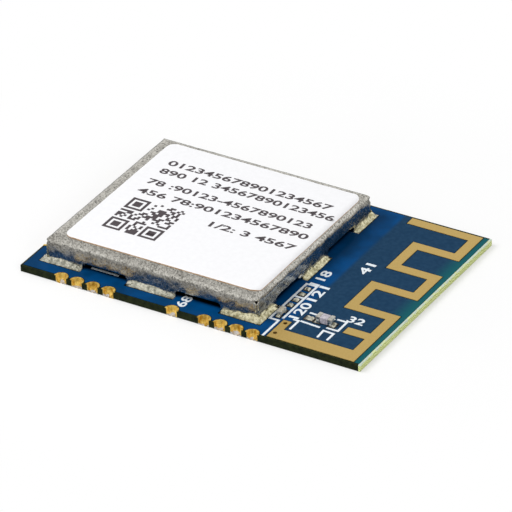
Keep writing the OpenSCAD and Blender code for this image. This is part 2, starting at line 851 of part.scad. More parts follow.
module inner_solder() {
  color("#b8b59a") {
    translate([chip_x, chip_y, land_top]) linear_extrude(joint_t) chip_outline(0);
    at_crystal() translate([0, 0, land_top]) linear_extrude(joint_t) crystal_pads(0);
    at_capacitors() part_solder(small_l, small_w, capacitor_h, small_terminal);
    at_resistors() part_solder(small_l, small_w, resistor_h, small_terminal);
    at_filter() part_solder(filter_l, filter_w, filter_h, filter_terminal);
    at_inductor() part_solder(inductor_l, inductor_w, inductor_h, inductor_terminal);
  }
}

board();
top_mask();
bottom_mask();
antenna_trace();
front_contacts();
back_contacts();
end_contacts();
ground_paddle();
shield_lands();
tinned_lands();
silkscreen();
shield_can();
shield_solder();
label();
label_print();
matching_capacitor();
matching_terminals();
link_resistor();
link_terminals();
outer_solder();
radio_chip();
chip_terminals();
crystal_base();
crystal_lid();
crystal_terminals();
power_inductor();
inductor_terminals();
decoupling_capacitors();
capacitor_terminals();
small_resistors();
resistor_terminals();
rf_filter();
filter_terminals();
inner_lands();
inner_solder();
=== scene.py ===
"""Looks of a shielded wireless module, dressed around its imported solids.

The module is a thin board with half-round gold contacts along three edges, a tinned steel can
soldered over the circuit, a paper-white label on the can and a folded gold antenna at the open
end. X runs towards the antenna, Y to the back and Z up. Sizes in the classes are millimetres.
"""
import logging
import math
from dataclasses import dataclass
from enum import Enum

import bmesh
import bpy
import numpy as np
from mathutils import Matrix, Vector


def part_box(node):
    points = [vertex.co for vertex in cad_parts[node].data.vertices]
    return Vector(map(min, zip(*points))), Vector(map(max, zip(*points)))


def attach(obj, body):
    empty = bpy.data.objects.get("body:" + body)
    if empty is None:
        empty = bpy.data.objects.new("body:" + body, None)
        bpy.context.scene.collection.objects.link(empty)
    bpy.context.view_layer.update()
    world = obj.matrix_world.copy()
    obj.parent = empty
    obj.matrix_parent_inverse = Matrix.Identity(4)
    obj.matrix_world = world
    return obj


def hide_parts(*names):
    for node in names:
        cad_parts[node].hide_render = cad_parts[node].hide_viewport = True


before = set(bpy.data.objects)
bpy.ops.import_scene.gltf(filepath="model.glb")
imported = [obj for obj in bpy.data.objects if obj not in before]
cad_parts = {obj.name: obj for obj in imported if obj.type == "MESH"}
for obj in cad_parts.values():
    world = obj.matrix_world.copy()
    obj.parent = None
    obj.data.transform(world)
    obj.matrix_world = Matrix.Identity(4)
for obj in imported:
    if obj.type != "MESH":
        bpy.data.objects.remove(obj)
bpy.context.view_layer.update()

MM = 0.001
FINE_WELD = 0.0005  # mm, for pieces with points closer than the usual weld
LOG = logging.getLogger("module")
Array = np.ndarray
Colour = tuple[float, float, float, float]


# ---------------------------------------------------------------- helpers

def linear(code: str) -> Colour:
    """Turns an sRGB colour into the linear one that shaders use.

    Args:
        code: Hex code such as "#0A4072".

    Returns:
        Linear red, green and blue, with an alpha of 1.
    """
    parts = [int(code[i:i + 2], 16) / 255 for i in (1, 3, 5)]
    return (*[p / 12.92 if p <= 0.04045 else ((p + 0.055) / 1.055) ** 2.4 for p in parts], 1.0)


def add_node(tree: bpy.types.NodeTree, kind: str, inputs: dict | None = None,
             **settings: object) -> bpy.types.Node:
    """Adds a node, sets it up and links it.

    Args:
        tree: Node tree that gets the node.
        kind: Blender's name of the node type.
        inputs: Value or source socket for each input, by name or number.
        **settings: Attributes of the node itself.

    Returns:
        The new node.
    """
    node = tree.nodes.new(kind)
    for name, value in settings.items():
        setattr(node, name, value)
    for key, value in (inputs or {}).items():
        if isinstance(value, bpy.types.NodeSocket):
            tree.links.new(value, node.inputs[key])
        else:
            node.inputs[key].default_value = value
    return node


def ripple(x: Array, y: Array, wave: float, seed: int, terms: int = 18) -> Array:
    """Smooth random unevenness over a plane.

    The height is a sum of sines, each along a random direction and with a random phase and a
    wavelength from half to twice the given one, divided by the root of their number.

    Args:
        x: First coordinate of the points.
        y: Second coordinate of the points.
        wave: Middle wavelength, in the unit of x and y.
        seed: Seed of the random draws.
        terms: Number of sines.

    Returns:
        Heights of about -1 to 1, in the shape of x.
    """
    rng = np.random.default_rng(seed)
    angle = rng.uniform(0, 2 * np.pi, terms)
    phase = rng.uniform(0, 2 * np.pi, terms)
    turns = 2 * np.pi / (wave * 2 ** rng.uniform(-1, 1, terms))
    flat = (np.multiply.outer(x, np.cos(angle) * turns)
            + np.multiply.outer(y, np.sin(angle) * turns) + phase)
    return np.sin(flat).sum(-1) / math.sqrt(terms)


def grid_faces(rows: int, cols: int, closed: bool = False, first: int = 0) -> Array:
    """Quads that join a grid of points row by row.

    Args:
        rows: Number of rows.
        cols: Number of points in a row.
        closed: Whether the last column joins the first.
        first: Index of the grid's first point.

    Returns:
        Four point numbers for each quad.
    """
    r, c = np.meshgrid(np.arange(rows - 1), np.arange(cols if closed else cols - 1), indexing="ij")
    n = (c + 1) % cols
    quads = np.stack([r * cols + c, r * cols + n, (r + 1) * cols + n, (r + 1) * cols + c], -1)
    return quads.reshape(-1, 4) + first


@dataclass
class Surface:
    """Points and quads gathered into one mesh, with a finish number for each quad."""

    points: list[Array]
    quads: list[Array]
    finish: list[Array]
    count: int = 0

    @classmethod
    def empty(cls) -> "Surface":
        """An empty surface."""
        return cls([], [], [])

    def add_grid(self, grid: Array, closed: bool = False, finish: int = 0) -> None:
        """Adds a grid of points as quads.

        Args:
            grid: Points in mm, shaped (rows, columns, 3).
            closed: Whether the last column joins the first.
            finish: Number of the finish on these quads.
        """
        rows, cols = grid.shape[:2]
        quads = grid_faces(rows, cols, closed, self.count)
        self.points.append(grid.reshape(-1, 3))
        self.quads.append(quads)
        self.finish.append(np.full(len(quads), finish))
        self.count += rows * cols

    def build(self, name: str, finishes: list["Finish"], slot: str, weld: float = 0.002,
              sharp: float = 40.0) -> bpy.types.Object:
        """Makes the object, welds its seams and turns its faces outwards.

        Args:
            name: Name of the piece.
            finishes: Finish of each finish number.
            slot: The record's material slot. Not used.
            weld: Distance in mm within which points become one.
            sharp: Angle in degrees above which an edge is drawn sharp.

        Returns:
            The new object, riding on the module.
        """
        mesh = bpy.data.meshes.new(name)
        quads = np.concatenate(self.quads)
        mesh.from_pydata((np.concatenate(self.points) * MM).tolist(), [], quads.tolist())
        mesh.polygons.foreach_set("material_index", np.concatenate(self.finish).astype(np.int32))
        for finish in finishes:
            mesh.materials.append(finish.material())
        obj = bpy.data.objects.new(name, mesh)
        bpy.context.scene.collection.objects.link(obj)
        mend_mesh(mesh, weld, sharp)
        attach(obj, "root")
        return obj


def mend_mesh(mesh: bpy.types.Mesh, weld: float, sharp: float) -> None:
    """Welds seams, recalculates normals and sets smooth faces with sharp edges.

    Args:
        mesh: Mesh in metres.
        weld: Distance in mm within which points become one.
        sharp: Angle in degrees above which an edge is drawn sharp.
    """
    work = bmesh.new()
    work.from_mesh(mesh)
    bmesh.ops.remove_doubles(work, verts=work.verts, dist=weld * MM)
    bmesh.ops.dissolve_degenerate(work, edges=work.edges, dist=weld * MM / 4)
    bmesh.ops.recalc_face_normals(work, faces=work.faces)
    work.to_mesh(mesh)
    work.free()
    mesh.polygons.foreach_set("use_smooth", np.ones(len(mesh.polygons), bool))
    mesh.set_sharp_from_angle(angle=math.radians(sharp))


def rounded_block(centre: tuple[float, float, float], size: tuple[float, float, float],
                  radius: float, steps: int = 3) -> list[Array]:
    """Six grids of a block with rounded edges.

    Each point is a corner of the block's core, which is the block less the radius on every side,
    plus the radius along a direction that turns from one face's normal to the next. The middle
    direction of a face is given to both of its core corners, so the face between them is flat.

    Args:
        centre: Middle of the block.
        size: Full size along X, Y and Z.
        radius: Radius of the edges.
        steps: Quads from a face's edge to the middle of the bend.

    Returns:
        One grid of points for each face.
    """
    reach = np.array(size) / 2 - radius
    turn = np.tan(np.radians(np.linspace(-45, 45, 2 * steps + 1)))
    turn = np.insert(turn, steps, 0.0)
    side = np.repeat([-1.0, 1.0], steps + 1)
    grids = []
    for axis in range(3):
        others = ((axis + 1) % 3, (axis + 2) % 3)
        for sign in (-1.0, 1.0):
            ray, core = (np.zeros((len(turn), len(turn), 3)) for _ in range(2))
            ray[..., axis] = core[..., axis] = sign
            ray[..., others[0]], ray[..., others[1]] = np.meshgrid(turn, turn, indexing="ij")
            core[..., others[0]], core[..., others[1]] = np.meshgrid(side, side, indexing="ij")
            ray /= np.linalg.norm(ray, axis=-1, keepdims=True)
            grids.append(np.array(centre) + core * reach + radius * ray)
    return grids


def box_mm(node: str) -> tuple[Array, Array]:
    """Box of a CAD node.

    Args:
        node: Name of the node.

    Returns:
        Lowest and highest corner in mm.
    """
    low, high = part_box(node)
    return np.array(low) / MM, np.array(high) / MM


# ---------------------------------------------------------------- finishes

@dataclass(frozen=True)
class Finish:
    """A surface with a fine grain of two colours and a little unevenness.

    Attributes:
        name: Real material and how its surface was made.
        colour: Main colour as an sRGB hex code.
        second: Colour of the grain as an sRGB hex code.
        roughness: Roughness of the surface.
        metallic: 1 for bare metal and 0 for what isn't metal. Two finishes lie between, chosen
            for how bright they look.
        grain: Size of the grain in mm.
        relief: Height of the unevenness in mm.
        swing: How much the roughness changes from grain to grain.
        gloss: Specular level of a surface that isn't metal.
    """

    name: str
    colour: str
    second: str
    roughness: float
    metallic: float = 0.0
    grain: float = 0.2
    relief: float = 0.002
    swing: float = 0.1
    gloss: float = 0.5

    def material(self) -> bpy.types.Material:
        """Makes the material once.

        Returns:
            The new material, or the one that an earlier call made.
        """
        found = bpy.data.materials.get(self.name)
        if found:
            return found
        made = bpy.data.materials.new(self.name)
        made.use_nodes = True
        tree = made.node_tree
        shader = tree.nodes["Principled BSDF"]
        shader.inputs["Metallic"].default_value = self.metallic
        shader.inputs["Specular IOR Level"].default_value = self.gloss
        place = add_node(tree, "ShaderNodeTexCoord").outputs["Object"]
        self.paint(tree, shader, place)
        return made

    def blots(self, tree: bpy.types.NodeTree, place: bpy.types.NodeSocket, size: float,
              detail: float = 3.0, low: float = 0.35, high: float = 0.65,
              out: tuple[float, float] = (0.0, 1.0)) -> bpy.types.NodeSocket:
        """Lays soft blots of a real size: noise, stretched to a clamped range.

        Args:
            tree: Node tree of the material.
            place: Coordinates of the pattern.
            size: Size of a blot in mm.
            detail: Octaves of finer noise.
            low: Noise at which the range starts.
            high: Noise at which it ends.
            out: Values at the start and the end.

        Returns:
            Socket of the stretched value.
        """
        noise = add_node(tree, "ShaderNodeTexNoise",
                         {"Vector": place, "Scale": 1 / (size * MM), "Detail": detail})
        return add_node(tree, "ShaderNodeMapRange", {
            "Value": noise.outputs["Fac"], "From Min": low, "From Max": high,
            "To Min": out[0], "To Max": out[1]}).outputs["Result"]

    def skin(self, tree: bpy.types.NodeTree, shader: bpy.types.Node,
             colour: bpy.types.NodeSocket, gloss: bpy.types.NodeSocket,
             height: bpy.types.NodeSocket) -> None:
        """Lays colour, roughness and relief on the shader.

        Args:
            tree: Node tree of the material.
            shader: Principled shader.
            colour: Socket of the colour.
            gloss: Socket that swings the roughness as it goes from 0 to 1.
            height: Socket of the height, where 0 to 1 is the relief.
        """
        tree.links.new(colour, shader.inputs["Base Color"])
        rough = add_node(tree, "ShaderNodeMapRange", {
            "Value": gloss, "To Min": self.roughness - self.swing / 2,
            "To Max": self.roughness + self.swing / 2})
        tree.links.new(rough.outputs["Result"], shader.inputs["Roughness"])
        bump = add_node(tree, "ShaderNodeBump",
                        {"Height": height, "Distance": self.relief * MM, "Strength": 1.0})
        tree.links.new(bump.outputs["Normal"], shader.inputs["Normal"])

    def paint(self, tree: bpy.types.NodeTree, shader: bpy.types.Node,
              place: bpy.types.NodeSocket) -> None:
        """Lays the grain into colour, roughness and bump.

        Args:
            tree: Node tree of the material.
            shader: Principled shader.
            place: Object coordinates.
        """
        grain = self.blots(tree, place, self.grain)
        colour = add_node(tree, "ShaderNodeMix", {
            0: grain, 6: linear(self.colour), 7: linear(self.second)}, data_type="RGBA")
        self.skin(tree, shader, colour.outputs[2], grain, grain)


@dataclass(frozen=True)
class SolderMask(Finish):
    """Screened epoxy mask: blue over copper, slate over bare laminate, teal at the end, painted
    shade under the can.

    Attributes:
        slate: Colour over bare laminate.
        slate_weave: Colour of the glass weave that shows through over bare laminate.
        teal: Colour where light comes through the laminate's open end.
        mottle: Size of the clouds over copper in mm.
        pour_end: Where the copper under the mask ends, in mm from the middle.
        pour_blur: Width of that boundary in mm.
        board_end: Where the board ends, in mm from the middle.
        glow: Width of the teal strip in mm.
        painted_shade: Nearly black painted shade, laid under the can so that its notches look into
            the dark.
        shade_middle: Middle of the painted shade in mm.
        shade_half: Half the length and width of the painted shade in mm.
        shade_full: Share of that half at which the painted shade is full.
        softness: Octaves of finer noise in the clouds and the weave.
    """

    slate: str = "#173753"
    slate_weave: str = "#1E3E5A"
    teal: str = "#145A60"
    mottle: float = 1.6
    pour_end: float = 5.4
    pour_blur: float = 0.24
    board_end: float = 10.86
    glow: float = 1.3
    painted_shade: str = "#02070E"
    shade_middle: tuple[float, float] = (-3.06, 0.05)
    shade_half: tuple[float, float] = (6.7, 6.1)
    shade_full: float = 0.97
    softness: float = 2.0

    def paint(self, tree: bpy.types.NodeTree, shader: bpy.types.Node,
              place: bpy.types.NodeSocket) -> None:
        """Lays the four zones, the last of them painted shade under the can, a soft mottle and the
        weave.

        Args:
            tree: Node tree of the material.
            shader: Principled shader.
            place: Object coordinates.
        """
        across = add_node(tree, "ShaderNodeSeparateXYZ", {0: place}).outputs["X"]
        clouds = self.blots(tree, place, self.mottle, self.softness)
        weave = self.blots(tree, place, self.grain, self.softness)
        over_copper = add_node(tree, "ShaderNodeMix", {
            0: clouds, 6: linear(self.colour), 7: linear(self.second)}, data_type="RGBA")
        bare = add_node(tree, "ShaderNodeMix", {
            0: weave, 6: linear(self.slate), 7: linear(self.slate_weave)}, data_type="RGBA")
        zone = add_node(tree, "ShaderNodeMapRange", {
            "Value": across, "From Min": (self.pour_end - self.pour_blur / 2) * MM,
            "From Max": (self.pour_end + self.pour_blur / 2) * MM})
        body = add_node(tree, "ShaderNodeMix", {
            0: zone.outputs[0], 6: over_copper.outputs[2], 7: bare.outputs[2]}, data_type="RGBA")
        end = add_node(tree, "ShaderNodeMapRange", {
            "Value": across, "From Min": (self.board_end - self.glow) * MM,
            "From Max": self.board_end * MM}, interpolation_type="SMOOTHSTEP")
        colour = add_node(tree, "ShaderNodeMix", {
            0: end.outputs[0], 6: body.outputs[2], 7: linear(self.teal)}, data_type="RGBA")
        # Painted shade: under the can the mask turns nearly black, fading out at the edge of that
        # area.
        middle = [-v / h for v, h in zip(self.shade_middle, self.shade_half)]
        shift = add_node(tree, "ShaderNodeMapping", {
            "Vector": place, "Location": (*middle, 0),
            "Scale": (*[1 / (h * MM) for h in self.shade_half], 0)})
        size = add_node(tree, "ShaderNodeVectorMath", {0: shift.outputs[0]}, operation="ABSOLUTE")
        sides = add_node(tree, "ShaderNodeSeparateXYZ", {0: size.outputs[0]}).outputs
        most = add_node(tree, "ShaderNodeMath", {0: sides["X"], 1: sides["Y"]},
                        operation="MAXIMUM")
        under = add_node(tree, "ShaderNodeMapRange", {
            "Value": most.outputs[0], "From Min": 1.0, "From Max": self.shade_full})
        whole = add_node(tree, "ShaderNodeMix", {
            0: under.outputs[0], 6: colour.outputs[2], 7: linear(self.painted_shade)},
            data_type="RGBA")
        self.skin(tree, shader, whole.outputs[2], weave, weave)


@dataclass(frozen=True)
class CutLaminate(Finish):
    """Cut edge of glass-fibre laminate: painted shade darkens the routed long edges; pale plies
    where it was broken.

    Attributes:
        routed_shade: Colour of the routed long edges, darkened as painted shade.
        routed_fibre_shade: Colour of the fibre ends on them, darkened as painted shade.
        milky: Colour of the crazed upper ply at the broken end.
        ply: Height of one ply in mm.
        tear: How far the plies wander up and down in mm.
        milky_from: Height above which the crazed ply starts, in mm.
        open_from: Where the broken end begins, in mm from the middle.
    """

    routed_shade: str = "#121A0C"
    routed_fibre_shade: str = "#242B14"
    milky: str = "#C3D0C2"
    ply: float = 0.13
    tear: float = 0.12
    milky_from: float = 0.36
    open_from: float = 10.75

    def paint(self, tree: bpy.types.NodeTree, shader: bpy.types.Node,
              place: bpy.types.NodeSocket) -> None:
        """Lays plies by height, and by place the pale broken end and the routed edges darkened as
        painted shade.

        Args:
            tree: Node tree of the material.
            shader: Principled shader.
            place: Object coordinates.
        """
        axes = add_node(tree, "ShaderNodeSeparateXYZ", {0: place}).outputs
        torn = self.blots(tree, place, self.grain)
        wander = add_node(tree, "ShaderNodeMath", {0: torn, 1: self.tear * MM, 2: axes["Z"]},
                          operation="MULTIPLY_ADD").outputs[0]
        turns = add_node(tree, "ShaderNodeMath", {0: wander, 1: 2 * math.pi / (self.ply * MM)},
                         operation="MULTIPLY")
        wave = add_node(tree, "ShaderNodeMath", {0: turns.outputs[0]}, operation="SINE")
        band = add_node(tree, "ShaderNodeMapRange",
                        {"Value": wave.outputs[0], "From Min": -1.0, "From Max": 1.0})
        plies = add_node(tree, "ShaderNodeMix", {
            0: band.outputs[0], 6: linear(self.colour), 7: linear(self.second)},
            data_type="RGBA")
        top = (self.milky_from + self.tear / 2) * MM
        crazed = add_node(tree, "ShaderNodeMapRange", {
            "Value": wander, "From Min": top, "From Max": top + self.tear / 2 * MM})
        pale = add_node(tree, "ShaderNodeMix", {
            0: crazed.outputs[0], 6: plies.outputs[2], 7: linear(self.milky)}, data_type="RGBA")
        # Painted shade: the routed long edges get nearly black colours.
        dark = add_node(tree, "ShaderNodeMix", {
            0: torn, 6: linear(self.routed_shade), 7: linear(self.routed_fibre_shade)}, data_type="RGBA")
        broken = add_node(tree, "ShaderNodeMath", {0: axes["X"], 1: self.open_from * MM},
                          operation="GREATER_THAN")
        colour = add_node(tree, "ShaderNodeMix", {
            0: broken.outputs[0], 6: dark.outputs[2], 7: pale.outputs[2]}, data_type="RGBA")
        self.skin(tree, shader, colour.outputs[2], torn, torn)


@dataclass(frozen=True)
class PlatedContact(Finish):
    """Gold plate over copper, with lines of painted highlight and shade down the barrel, and grey
    tinned patches at the foot.

    Attributes:
        tin: Colour of the tinned patches.
        tin_height: How far the tin climbs, in mm.
        tin_patch: Size of a patch in mm.
        draw: How much longer the painted highlight lines are than wide.
    """

    tin: str = "#D9D4D0"
    tin_height: float = 0.16
    tin_patch: float = 0.4
    draw: float = 5.0

    def paint(self, tree: bpy.types.NodeTree, shader: bpy.types.Node,
              place: bpy.types.NodeSocket) -> None:
        """Lays lines of painted highlight and shade down the barrel, and the tin at its foot.

        Args:
            tree: Node tree of the material.
            shader: Principled shader.
            place: Object coordinates.
        """
        up = add_node(tree, "ShaderNodeSeparateXYZ", {0: place}).outputs["Z"]
        long = add_node(tree, "ShaderNodeMapping",
                        {"Vector": place, "Scale": (1, 1, 1 / self.draw)}).outputs[0]
        lines = self.blots(tree, long, self.grain)
        # Painted highlight and shade: the lines mix a dark gold with a bright yellow in place of
        # reflections down the barrel.
        gold = add_node(tree, "ShaderNodeMix", {
            0: lines, 6: linear(self.colour), 7: linear(self.second)}, data_type="RGBA")
        level = self.blots(tree, place, self.tin_patch, detail=1.0,
                           out=(0.0, self.tin_height * MM))
        below = add_node(tree, "ShaderNodeMath", {0: up, 1: level}, operation="LESS_THAN")
        colour = add_node(tree, "ShaderNodeMix", {
            0: below.outputs[0], 6: gold.outputs[2], 7: linear(self.tin)}, data_type="RGBA")
        self.skin(tree, shader, colour.outputs[2], lines, lines)


@dataclass(frozen=True)
class SpangledTin(Finish):
    """Hot-dipped tin on rolled sheet: small spangles, a soft crinkle, and the painted shade of
    small pits.

    Attributes:
        dark: Colour of the painted shade in the deepest pits.
        spangle: Size of a spangle in mm.
        cloud: Size of the wide clouds in mm.
        shaded_pit: Size of a pit's painted shade in mm.
        shaded_pit_from: Noise at which a pit's painted shade starts.
        shaded_pit_full: Noise at which that shade is darkest.
        cloud_share: Weight of the clouds against the spangles in the colour.
        fine_share: Weight of the fine grain against the spangles in the relief.
        softness: Octaves of finer noise in clouds, grain and pits.
    """

    dark: str = "#63615C"
    spangle: float = 0.09
    cloud: float = 0.8
    shaded_pit: float = 0.1
    shaded_pit_from: float = 0.56
    shaded_pit_full: float = 0.7
    cloud_share: float = 0.35
    fine_share: float = 0.5
    softness: float = 2.0

    def paint(self, tree: bpy.types.NodeTree, shader: bpy.types.Node,
              place: bpy.types.NodeSocket) -> None:
        """Lays spangles into colour, roughness and relief, and the painted shade of pits into
        colour.

        Args:
            tree: Node tree of the material.
            shader: Principled shader.
            place: Object coordinates.
        """
        cells = add_node(tree, "ShaderNodeTexVoronoi",
                         {"Vector": place, "Scale": 1 / (self.spangle * MM)})
        each = add_node(tree, "ShaderNodeSeparateColor", {0: cells.outputs["Color"]}).outputs[0]
        wide = self.blots(tree, place, self.cloud, self.softness)
        fine = self.blots(tree, place, self.grain, self.softness)
        shade = add_node(tree, "ShaderNodeMath", {0: wide, 1: self.cloud_share, 2: each},
                         operation="MULTIPLY_ADD").outputs[0]
        share = add_node(tree, "ShaderNodeMapRange",
                         {"Value": shade, "From Max": 1 + self.cloud_share})
        bright = add_node(tree, "ShaderNodeMix", {
            0: share.outputs[0], 6: linear(self.colour), 7: linear(self.second)},
            data_type="RGBA")
        # Painted shade: dark spots where pits would hold shade; they add no relief.
        pit_shade = self.blots(tree, place, self.shaded_pit, self.softness, self.shaded_pit_from, self.shaded_pit_full)
        colour = add_node(tree, "ShaderNodeMix", {
            0: pit_shade, 6: bright.outputs[2], 7: linear(self.dark)}, data_type="RGBA")
        height = add_node(tree, "ShaderNodeMath", {0: fine, 1: self.fine_share, 2: each},
                          operation="MULTIPLY_ADD").outputs[0]
        self.skin(tree, shader, colour.outputs[2], each, height)


class Finishes(Enum):
    """Every finish on the module."""

    # Woven glass in resin: plies show as pale and olive lines on the cut edge.
    LAMINATE = CutLaminate("glass_laminate_routed", "#A9B36C", "#DFE7A6", 0.6, grain=0.35,
                           relief=0.01, gloss=0.1)
    # Screened epoxy: a smooth wet gloss, clear blue where copper lies under it.
    MASK = SolderMask("epoxy_mask_screened", "#04365F", "#03447A", 0.2, grain=0.25, relief=0.0004,
                      swing=0.06, gloss=0.02)
    # Immersion gold on etched copper: matte, with a fine warm grain.
    ETCHED_GOLD = Finish("copper_gold_plated_etched", "#D8B86C", "#E2C47C", 0.5, 1.0, 0.07, 0.002)
    # The same plate in a drilled barrel: brighter, by lines of painted highlight and shade down the
    # hole. It is only part metallic, which was chosen for its brightness.
    CONTACT = PlatedContact("copper_gold_plated_drilled", "#B98A20", "#FFDB74", 0.32, 0.6, 0.16,
                            0.004)
    # Tin-dipped steel, rolled then bent: grey mirror broken up by spangles and dark spots of
    # painted pit shade.
    CAN = SpangledTin("steel_tinned_rolled", "#9A978F", "#E6E3DA", 0.2, 1.0, 0.06, 0.0035, 0.14)
    # Tin and silver alloy, melted and frozen: bright lumps with a warm tint; the pale blots of its
    # grain are painted glints.
    SOLDER = Finish("solder_reflowed", "#98988A", "#F0EDDA", 0.22, 1.0, 0.2, 0.006, 0.2)
    # Tinned copper lands drawn dark, with a pink cast. Like the contacts, only part metallic.
    DARK_LAND = Finish("copper_tinned_dark", "#453E3A", "#6E6661", 0.45, 0.6, 0.1, 0.002)
    # Solder with a yellowish painted reflection of the gold nearby, and wetter; the pale blots of
    # its grain are painted glints.
    SOLDER_GOLD_REFLECTION = Finish("solder_painted_gold_reflection", "#A8A07A", "#F6F0CC", 0.2, 1.0, 0.2, 0.006,
                           0.2)
    # Polyester film with a matte white coat: even, nearly without gloss.
    LABEL = Finish("polyester_film_coated", "#F0F0F2", "#EDEDEF", 0.6, 0.0, 0.3, 0.0004, gloss=0.2)
    # Cut edge of film and its adhesive: a thin warm brown line.
    LABEL_EDGE = Finish("adhesive_film_cut", "#D2B79A", "#B78F68", 0.6, 0.0, 0.25, 0.001)
    # Resin ribbon melted into the coat: warm black, slightly open at the edges.
    PRINT = Finish("resin_ribbon_printed", "#3A3236", "#463E41", 0.55, 0.0, 0.06, 0.0005)
    # Screened epoxy ink: opaque white, thick enough to stand proud.
    WHITE_INK = Finish("epoxy_ink_screened", "#EEF3F6", "#D9E2E8", 0.5, 0.0, 0.08, 0.002)
    # Barium titanate, pressed and fired: warm grey-brown with dull gloss.
    CAPACITOR = Finish("titanate_ceramic_fired", "#A89F8A", "#BDB6A4", 0.35, 0.0, 0.1, 0.002)
    # Alumina and glass, fired: lilac grey with a soft sheen.
    LINK = Finish("alumina_ceramic_fired", "#9C97A0", "#C4BFC6", 0.32, 0.0, 0.15, 0.003)
    # Electroplated tin over nickel: pale and satin.
    TERMINAL = Finish("nickel_tin_plated", "#BDBBB2", "#E2DFD4", 0.3, 1.0, 0.1, 0.004)
    # Silica-filled epoxy, moulded: nearly black and fine-grained.
    CHIP = Finish("silica_epoxy_moulded", "#26262A", "#303034", 0.55, 0.0, 0.06, 0.003)
    # Dark alumina package, fired.
    DARK_CERAMIC = Finish("dark_alumina_fired", "#4D3D33", "#5C4A3F", 0.55, 0.0, 0.08, 0.002)
    # Nickel-iron lid, seam-welded: satin metal.
    LID = Finish("nickel_iron_pressed", "#B8B8B3", "#CFCFC9", 0.32, 1.0, 0.1, 0.002)
    # Iron powder and resin, pressed: dull dark grey.
    FERRITE = Finish("iron_powder_pressed", "#404045", "#4D4D52", 0.7, 0.0, 0.05, 0.005)
    # Lead-free glass over the resistor film: black and wet-looking.
    GLAZE = Finish("resistor_glass_glazed", "#1A1A1D", "#232327", 0.22, 0.0, 0.2, 0.001)
    # Low-fired pale ceramic of the filter.
    PALE_CERAMIC = Finish("glass_ceramic_fired", "#D6D1C2", "#C8C2B0", 0.5, 0.0, 0.1, 0.002)
    # Painted studio table: plain and pale.
    TABLE = Finish("table_board_painted", "#F4F4F4", "#F2F2F2", 0.7, 0.0, 8.0, 0.0)

    def on(self, *nodes: str) -> None:
        """Dresses CAD nodes with this finish.

        Args:
            *nodes: Names of the nodes.
        """
        for name in nodes:
            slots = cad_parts[name].data.materials
            for number in range(len(slots)):
                slots[number] = self.value.material()
            LOG.info("dressed %s with %s", name, self.value.name)


# ---------------------------------------------------------------- sub-assemblies

def new_surface(parts: list[Array], finish: int = 0) -> Surface:
    """A surface made of several grids.

    Args:
        parts: Grids of points in mm.
        finish: Number of the finish on all of them.

    Returns:
        The surface.
    """
    surface = Surface.empty()
    for part in parts:
        surface.add_grid(part, finish=finish)
    return surface


def tin_dome(centre: tuple[float, float], size: tuple[float, float], base: float,
             height: float, seed: int, steps: int = 12, squareness: float = 0.85,
             rim: float = 0.6, uneven: float = 0.25, wave: float = 0.3) -> Array:
    """Closed dome of solder frozen on a land.

    The height over the land is the root of (1 - u^4)(1 - v^4), drawn down towards the rim and
    with a ripple, where u and v run from -1 to 1 over the land. Its last ring drops to the base
    and closes under the dome.

    Args:
        centre: Middle of the land.
        size: Length and width of the land.
        base: Height of the land's top.
        height: Height of the dome.
        seed: Seed of the ripple.
        steps: Rings from the middle to the edge.
        squareness: Power that turns the rings from round (0) to square (1).
        rim: How far the rim is drawn down, as a share of the height.
        uneven: Height of the ripple, as a share of the height.
        wave: Wavelength of the ripple in mm.

    Returns:
        Grid of rings about the middle, closed round each ring.
    """
    ring = np.linspace(0, 1, steps + 1)[:, None]
    angle = np.linspace(0, 2 * np.pi, 4 * steps, endpoint=False)[None, :]
    square = np.maximum(np.abs(np.cos(angle)), np.abs(np.sin(angle))) ** squareness
    u, v = ring * np.cos(angle) / square, ring * np.sin(angle) / square
    u, v = np.clip(u, -1, 1), np.clip(v, -1, 1)
    x, y = centre[0] + u * size[0] / 2, centre[1] + v * size[1] / 2
    rise = np.sqrt(np.clip((1 - u ** 4) * (1 - v ** 4), 0, 1)) * (1 - rim * ring ** 6)
    z = base + height * rise * (1 + uneven * ripple(x, y, wave, seed))
    z[-1] = base
    top = np.stack([x, y, z], -1)
    floor = top[::-1].copy()
    floor[..., 2] = base
    floor[-1, :, :2] = centre
    return np.concatenate([top, floor[1:]])


